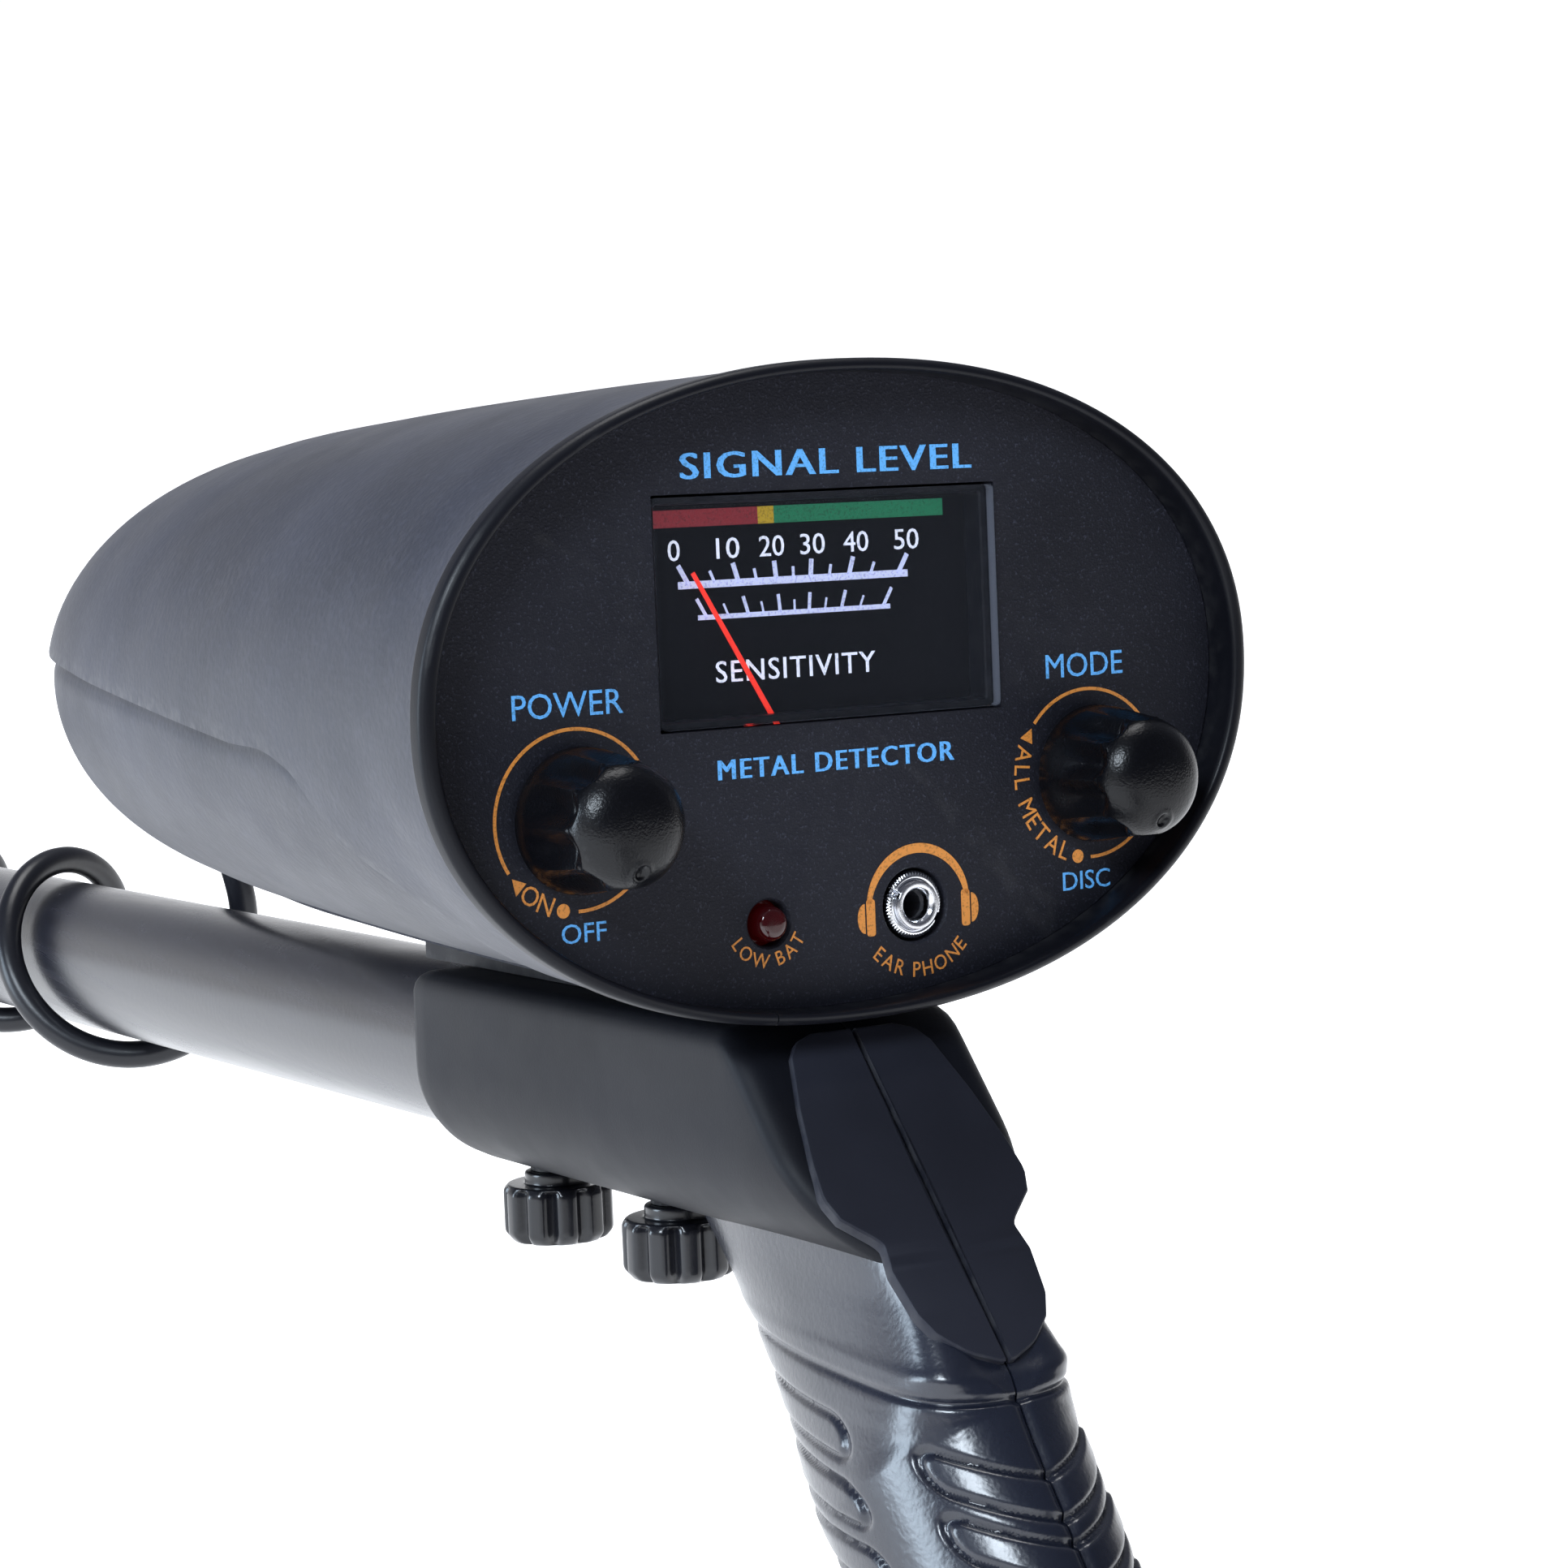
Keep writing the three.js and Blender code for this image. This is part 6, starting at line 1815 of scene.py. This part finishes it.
@dataclass
class ArmCuff(Assembly):
    """The lined cuff, its bracket on the arm tube, the foot and the clamp screw."""

    body: str = "cuff"
    ends: Tuple[float, float] = (-318.0, -222.0)
    radius: float = 50.0
    wall: float = 3.0
    centre_z: float = -67.0
    half_angle: float = 105.0
    foot_y: float = -281.0
    tube_z: float = -132.453

    def trough(self, outer: float, inner: float, ends: Tuple[float, float], half: float,
               flare: float) -> Skin:
        """An open trough along Y: an arc of a circle either side of straight down, whose ends are rounded in
        plan by drawing in the corners, and whose rims lean out a little."""
        y = np.linspace(*ends, 60)[:, None]
        s = np.linspace(-1.0, 1.0, 97)[None, :]
        near = np.minimum(y - ends[0], ends[1] - y)
        trim = 14.0 * np.clip(1.0 - np.sqrt(np.clip(1.0 - (1.0 - np.clip(near / 14.0, 0, 1)) ** 2, 0, 1)), 0,
                              1)
        angle = np.radians(half - np.degrees(trim / outer)) * s
        lean = flare * smooth_step(0.8, 1.0, np.abs(s))
        layers = []
        for r in (outer, inner):
            reach = r + lean + 0 * y
            layers.append(np.stack([reach * np.sin(angle), y + 0 * angle,
                                    self.centre_z - reach * np.cos(angle)],
                                   axis=-1))
        return Skin().walled(layers[0], layers[1])

    def liner(self) -> Skin:
        """The foam liner: thinner at its edges, pillowed between pressed lines, with a rolled rim."""
        y0, y1 = self.ends[0] + 4.0, self.ends[1] - 4.0
        y = np.linspace(y0, y1, 110)[:, None]
        s = np.linspace(-1.0, 1.0, 201)[None, :]
        near = np.minimum(y - y0, y1 - y)
        side = (1.0 - np.abs(s)) * math.radians(self.half_angle - 8.0) * 45.0
        trim = 10.0 * (1.0 - np.sqrt(np.clip(1.0 - (1.0 - np.clip(near / 10.0, 0, 1)) ** 2, 0, 1)))
        angle = (math.radians(self.half_angle - 8.0) - trim / 46.0) * s
        edge = np.sqrt(np.clip(1.0 - (1.0 - np.clip(np.minimum(near, side) / 2.6, 0, 1)) ** 2, 0, 1))
        channel = bell(np.abs(angle) * 45.0 - 26.0, 1.3) + np.exp(-((angle * 45.0 / 1.3) ** 2))
        puff = 0.5 + 3.1 * edge - 1.3 * channel * smooth_step(2.0, 6.0, near)
        base = self.radius - self.wall - 0.35
        layers = []
        for r in (base + 0 * puff, base - puff):
            layers.append(np.stack([r * np.sin(angle), y + 0 * angle, self.centre_z - r * np.cos(angle)],
                                   axis=-1))
        return Skin().walled(layers[0], layers[1])

    def ground(self) -> float:
        """The height of the foot's underside, which stands on the floor, on the upright line through the
        foot."""
        down = STEM.row(np.array([0.0, self.foot_y, 0.0]))[2] * 1000.0
        return -down / STEM.axes[2][2]

    def foot_place(self) -> Place:
        """Level axes on the floor under the foot."""
        return Place(STEM.row(np.array([0.0, self.foot_y, self.ground()])), np.eye(3))

    def bracket(self) -> bpy.types.Mesh:
        """The collar round the arm tube, the tapering leg under it, with its tapped hole."""
        collar = eased([(11.3, -299, 0.2), (14.6, -299, 1.0), (15, -297.5, 0.4), (15, -264.5, 0.4),
                        (14.6, -263, 1.0),
                        (11.3, -263, 0.2)], 4)
        collar = refined(looped(collar), 3.0)
        skin = Skin().turned(collar, 96, at=(0, 0, self.tube_z))
        low = self.ground() + 8.5
        y = self.foot_y
        heights = np.linspace(self.tube_z - 12.2, low, 30)
        share = np.linspace(0.0, 1.0, 30)
        rows = []
        for z, s in zip(heights, share):
            half = 14.0 - 6.5 * s**0.8 + 2.0 * s**8
            wide = 8.0 + 3.0 * s**8
            ring = eased([(-wide, -half, 2.5), (wide, -half, 2.5), (wide, half, 2.5), (-wide, half, 2.5)], 6)
            rows.append(np.column_stack([ring[:, 0], y + ring[:, 1], np.full(len(ring), z)]))
        leg = Skin().solid(rows)
        hole = Skin().rod(3.4, 5, 20, 32)
        place = STEM.moved(0, y, self.tube_z).sideways()
        return joined(carved(skin.mesh("bracket", STEM), [hole.mesh("tapped", place)]), leg.mesh("leg", STEM))

    def bar(self, z0: float, z1: float, grooves: bool) -> Skin:
        """The foot's bar: a rounded block in plan whose edges are eased."""
        rows = []
        steps = ((z0, 1.2), (z0 + 0.4, 0.35), (z0 + 1.0, 0.0), (z1 - 1.0, 0.0), (z1 - 0.4, 0.35), (z1, 1.2))
        for z, inset in steps:
            a, b = 34.0 - inset, 11.0 - inset
            ring = eased([(-a, -b, 6), (a, -b, 6), (a, b, 6), (-a, b, 6)], 9)
            rows.append(np.column_stack([ring, np.full(len(ring), z)]))
        grid = np.array([refined(looped(row), 60.0)[:-1] for row in rows])
        return Skin().solid(grid)

    def build(self) -> None:
        """Makes the cuff."""
        shell = self.trough(self.radius, self.radius - self.wall, self.ends, self.half_angle, 0.0)
        self.add("arm_cuff_trimmed", shell, FITTING, ["arm_cuff"])
        liner = self.add("cuff_liner_foam", self.liner(), FOAM, ["cuff_liner"])
        self.add("cuff_bracket_moulded", self.bracket(), FITTING, ["cuff_bracket"])
        place = self.foot_place()
        self.add("foot_bar", self.bar(4.3, 10.5, False), FITTING, place=place)
        self.add("foot_rubber", self.bar(0.0, 4.0, True), RUBBER, ["foot_pad"], place=place)
        head = refined(eased([(0, 27, 0), (6.6, 27, 1.0), (8, 25.6, 0.5), (8, 18.2, 0.6), (7.2, 17, 0.3),
                              (3, 17, 0.3),
                              (3, 11.6, 0.4), (0, 11.6, 0)], closed=False), 0.5)

        def fluted(radius: Array, y: Array, angle: Array) -> Array:
            """Ten flutes round the head."""
            return radius - 1.0 * (0.5 + 0.5 * np.cos(10.0 * angle)) ** 3 * smooth_step(5.6, 7.6, radius)

        place = STEM.moved(0.0, self.foot_y, self.tube_z).sideways()
        self.add("cuff_screw_fluted", Skin().turned(head, 160, fluted), SCREW, ["cuff_screw"], "cuff_screw",
                 place)


# ------------------------------------------------------------------ coil lead


@dataclass
class CoilLead(Assembly):
    """The lead from the plug, wound round the stem, tied at its splices and let into the coil."""

    thick: float = 2.4
    plug: Tuple[float, float] = (6.0, 36.0)
    splices: Tuple[float, float, float] = (397.0, 600.0, 722.0)
    hinge: float = 760.0
    winding: Tuple[Tuple[float, float, float], ...] = (
        (222, 0.25, 16.4), (235, 0.5, 16.2), (266, 1, 16.2), (297, 1.5, 16.2), (328, 2, 16.2),
        (359, 2.5, 16.2),
        (386, 3, 16.2), (406, 3, 16.2), (415, 3.06, 20.3), (432, 3.3, 21.5), (468, 3.8, 22.4),
        (520, 4.35, 22.6),
        (556, 4.75, 22.2), (580, 4.97, 19.5), (596, 5, 14.6), (614, 5, 14.2), (642, 5.5, 14.6),
        (668, 6, 14.6), (688, 6.5, 14.6),
        (704, 7, 14.4), (722, 7, 14.4),
    )

    def wound(self, y0: float, y1: float, count: int) -> Array:
        """The winding between two stations: the angle and reach run smoothly from station to station."""
        y = np.linspace(y0, y1, count)
        p = np.array(self.winding, float)
        turns, reach = along_line(p[:, 1:], p[:, 0], y).T
        angle = TAU * turns
        return np.stack([reach * np.sin(angle), y, reach * np.cos(angle)], axis=-1)

    def tube(self, path: Array) -> Skin:
        """A round lead along a path, evenly stepped, with closed ends."""
        arc = np.concatenate([[0.0], np.cumsum(np.linalg.norm(np.diff(path, axis=0), axis=1))])
        at = np.linspace(0.0, arc[-1], max(24, int(arc[-1] / 0.9)))
        path = np.stack([np.interp(at, arc, path[:, i]) for i in range(3)], axis=-1)
        tangent = np.gradient(path, axis=0)
        tangent /= np.linalg.norm(tangent, axis=1, keepdims=True)
        across = np.array([0.31, 0.17, 0.93]) + 0 * path
        grid = swept(path, across, circle(np.full(len(path), self.thick), 20))
        return Skin().solid(grid)

    def tie(self, y: float, gap: float, radius: float) -> Skin:
        """A tie round the stem and the lead: a flat band in the shape of the stem's circle drawn out over
        the lead, with a small square head."""
        angle = np.linspace(0.0, TAU, 120, endpoint=False)
        around = np.mod(angle + math.pi, TAU) - math.pi
        reach = radius + 0.35 + (2 * self.thick + gap) * np.exp(-((around / 0.33) ** 4))
        rows = []
        for dy, out in ((-1.8, 0.0), (-1.8, 0.9), (-1.5, 1.15), (1.5, 1.15), (1.8, 0.9), (1.8, 0.0)):
            r = reach + out
            rows.append(np.stack([r * np.sin(angle), y + dy + 0 * angle, r * np.cos(angle)], axis=-1))
        skin = Skin().sheet(np.array(rows + rows[:1]), True)
        return skin.block((radius - 0.2, y - 2.6, -2.8), (radius + 4.2, y + 2.6, 2.8), 0.5)

    def from_coil(self, y: float, z: float) -> Tuple[float, float, float]:
        """A point of the level coil's axes, seen in the stem's."""
        turn = STEM.axes @ np.array([0.0, y, z])
        return 0.0, self.hinge + float(turn[1]), float(turn[2])

    def build(self) -> None:
        """Makes the lead in four lengths and its ties; two lengths cross a joint."""
        x, z = self.plug
        drop = flowing([(x, 202, z), (x, 208, z), (x + 0.8, 213, z - 1.5), (x + 3.5, 217.5, z - 7),
                        (x + 7, 220, z - 15), (x + 9.6, 220.4, z - 25), tuple(self.wound(222, 223, 2)[0])],
                        90)
        upper = np.concatenate([drop[:-1], self.wound(222, self.splices[0], 700)])
        self.add("lead_upper_wound", self.tube(upper), JACKET, ["lead_upper"])
        lower = self.wound(self.splices[1] + 0.3, self.splices[2], 400)
        self.add("lead_lower_wound", self.tube(lower), JACKET, ["lead_lower"], "lower_stem")
        slack = self.tube(self.wound(self.splices[0] + 0.3, self.splices[1], 600))
        self.across("lead_slack_wound", slack, "lead_slack", ("frame", "lower_stem"),
                    ((0, self.splices[0] + 4, 0), (0, self.splices[1] - 3, 0)))
        over = [(0, self.splices[2] + 0.3, 14.4), (0, 726, 14.5), (0, 733, 15.6), (0, 746, 21.5),
                (0, 762, 24.5),
                (0, 778, 20.5), self.from_coil(31.8, 6), self.from_coil(34.8, -4), self.from_coil(35, -12),
                self.from_coil(35, -20)]
        self.across("lead_coil_loop", self.tube(flowing(over, 300)), "lead_coil", ("lower_stem", "coil"),
                    ((0, 726, 14.5), self.from_coil(34, -2)))
        for name, y, radius, body in (("upper", self.splices[0], 12.5, "frame"),
                                      ("slack", self.splices[1], 11.0, "lower_stem"),
                                      ("lower", self.splices[2] - 2.0, 11.0, "lower_stem")):
            self.add(f"lead_tie_{name}", self.tie(y, 0.9, radius), TIE, (), body)

    def across(self, name: str, skin: Skin, node: str, bodies: Tuple[str, str], ends: Sequence[Any]) -> None:
        """Adds a length that crosses the joint between two bodies; it is put on neither of them."""
        mesh = skin.mesh(name, STEM)
        piece = bpy.data.objects.new(name, mesh)
        bpy.context.scene.collection.objects.link(piece)
        mesh.materials.append(JACKET.material())
        start, end = (tuple(float(v) for v in STEM.row(np.array(point, float))) for point in ends)
        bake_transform(piece)
        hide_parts(node)
        LOG.info("%s: %d faces, between %s and %s", name, len(mesh.polygons), *bodies)


# ------------------------------------------------------------------ studio


@dataclass
class Studio:
    """The floor, the lights and the camera."""

    eye: Tuple[float, float, float] = (-249.9, -391.5, 79.7)
    look: Tuple[float, float, float] = (0.5233, 0.8485, -0.0794)
    head: Tuple[float, float, float] = (0.0767, 0.0459, 0.9961)
    lens: float = 87.4

    def camera(self) -> None:
        """A camera at the eye, looking along its line."""
        data = bpy.data.cameras.new("camera")
        data.lens, data.sensor_width, data.clip_start = self.lens, 36.0, 0.01
        camera = bpy.data.objects.new("camera", data)
        bpy.context.scene.collection.objects.link(camera)
        look = np.array(self.look) @ STEM.axes
        look /= np.linalg.norm(look)
        up = np.array(self.head) @ STEM.axes
        up -= look * float(up @ look)
        up /= np.linalg.norm(up)
        made = Matrix.Identity(4)
        for column, axis in enumerate((np.cross(look, up), up, -look)):
            for line in range(3):
                made[line][column] = float(axis[line])
        for line, value in enumerate(STEM.row(np.array(self.eye))):
            made[line][3] = float(value)
        camera.matrix_world = made
        bpy.context.scene.camera = camera

    @staticmethod
    def floor() -> None:
        """A wide pale floor, faintly uneven."""
        mesh = bpy.data.meshes.new("floor")
        mesh.from_pydata([(-60, -60, 0), (60, -60, 0), (60, 60, 0), (-60, 60, 0)], [], [(0, 1, 2, 3)])
        floor = bpy.data.objects.new("floor", mesh)
        bpy.context.scene.collection.objects.link(floor)
        nodes = Nodes("floor_pale")
        tone = nodes.blend(nodes.noise(900.0, 3.0), (0.86, 0.86, 0.865), (0.9, 0.9, 0.905))
        nodes.set(Base_Color=tone, Roughness=0.9, Emission_Color=(1.0, 1.0, 1.0), Emission_Strength=0.92)
        nodes.set(Specular_IOR_Level=0.1)
        mesh.materials.append(nodes.made)

    @staticmethod
    def light(name: str, at: Sequence[float], towards: Sequence[float], size: Tuple[float, float],
              watts: float,
              colour: Colour = (1.0, 1.0, 1.0)) -> None:
        """A softbox at a point, in metres, that faces another.

        Args:
            name: its name.
            at: where it stands.
            towards: what it faces.
            size: its width and height.
            watts: its power.
            colour: its colour.
        """
        data = bpy.data.lights.new(name, "AREA")
        data.shape, data.size, data.size_y = "RECTANGLE", size[0], size[1]
        data.energy, data.color = watts, colour
        lamp = bpy.data.objects.new(name, data)
        lamp.location = at
        lamp.rotation_euler = (Vector(towards) - Vector(at)).to_track_quat("-Z", "Y").to_euler()
        bpy.context.scene.collection.objects.link(lamp)

    def sky(self) -> None:
        """A pale room with a dim side, which a glossy panel mirrors: the dim patch is where the direction's
        share along a fixed line is high."""
        world = bpy.data.worlds.new("room")
        world.use_nodes = True
        bpy.context.scene.world = world
        nodes = Nodes.__new__(Nodes)
        nodes.tree = world.node_tree
        where = nodes.add("ShaderNodeTexCoord", out="Generated")
        up = nodes.add("ShaderNodeVectorMath", {"operation": "DOT_PRODUCT"}, {0: where, 1: (0.0, 0.0, 1.0)},
                       "Value")
        behind = nodes.add("ShaderNodeVectorMath", {"operation": "DOT_PRODUCT"},
                           {0: where, 1: (0.30, -0.95, 0.05)},
                           "Value")
        tone = nodes.blend(up.between(0.04, 0.34), (1.04, 1.05, 1.08), (0.20, 0.21, 0.25))
        tone = nodes.blend(behind.between(0.05, 0.6), tone, (0.09, 0.095, 0.115))
        background = world.node_tree.nodes["Background"]
        nodes.feed(background.inputs["Color"], tone)
        background.inputs["Strength"].default_value = 1.0

    def build(self) -> None:
        """Sets up the studio."""
        bpy.context.scene.view_settings.view_transform = "Standard"
        self.camera()
        self.floor()
        self.sky()
        self.light("upper_left", (-1.3, -0.9, 1.3), (0.0, -0.15, 0.2), (0.6, 0.5), 28.0, (0.80, 0.90, 1.0))
        self.light("left_side", (-1.6, 0.4, 0.35), (0.0, -0.1, 0.15), (0.6, 0.9), 20.0, (0.70, 0.85, 1.0))
        self.light("overhead", (0.2, 0.3, 1.7), (0.0, 0.0, 0.1), (0.8, 0.8), 12.0)


def main() -> None:
    """Builds the studio and every assembly."""
    logging.basicConfig(level=logging.INFO, format="%(message)s")
    Studio().build()
    for assembly in (ControlBox(), Handle(), Stem(), SearchCoil(), ArmCuff(), CoilLead()):
        LOG.info("building %s", type(assembly).__name__)
        assembly.build()


if __name__ == "__main__":
    main()
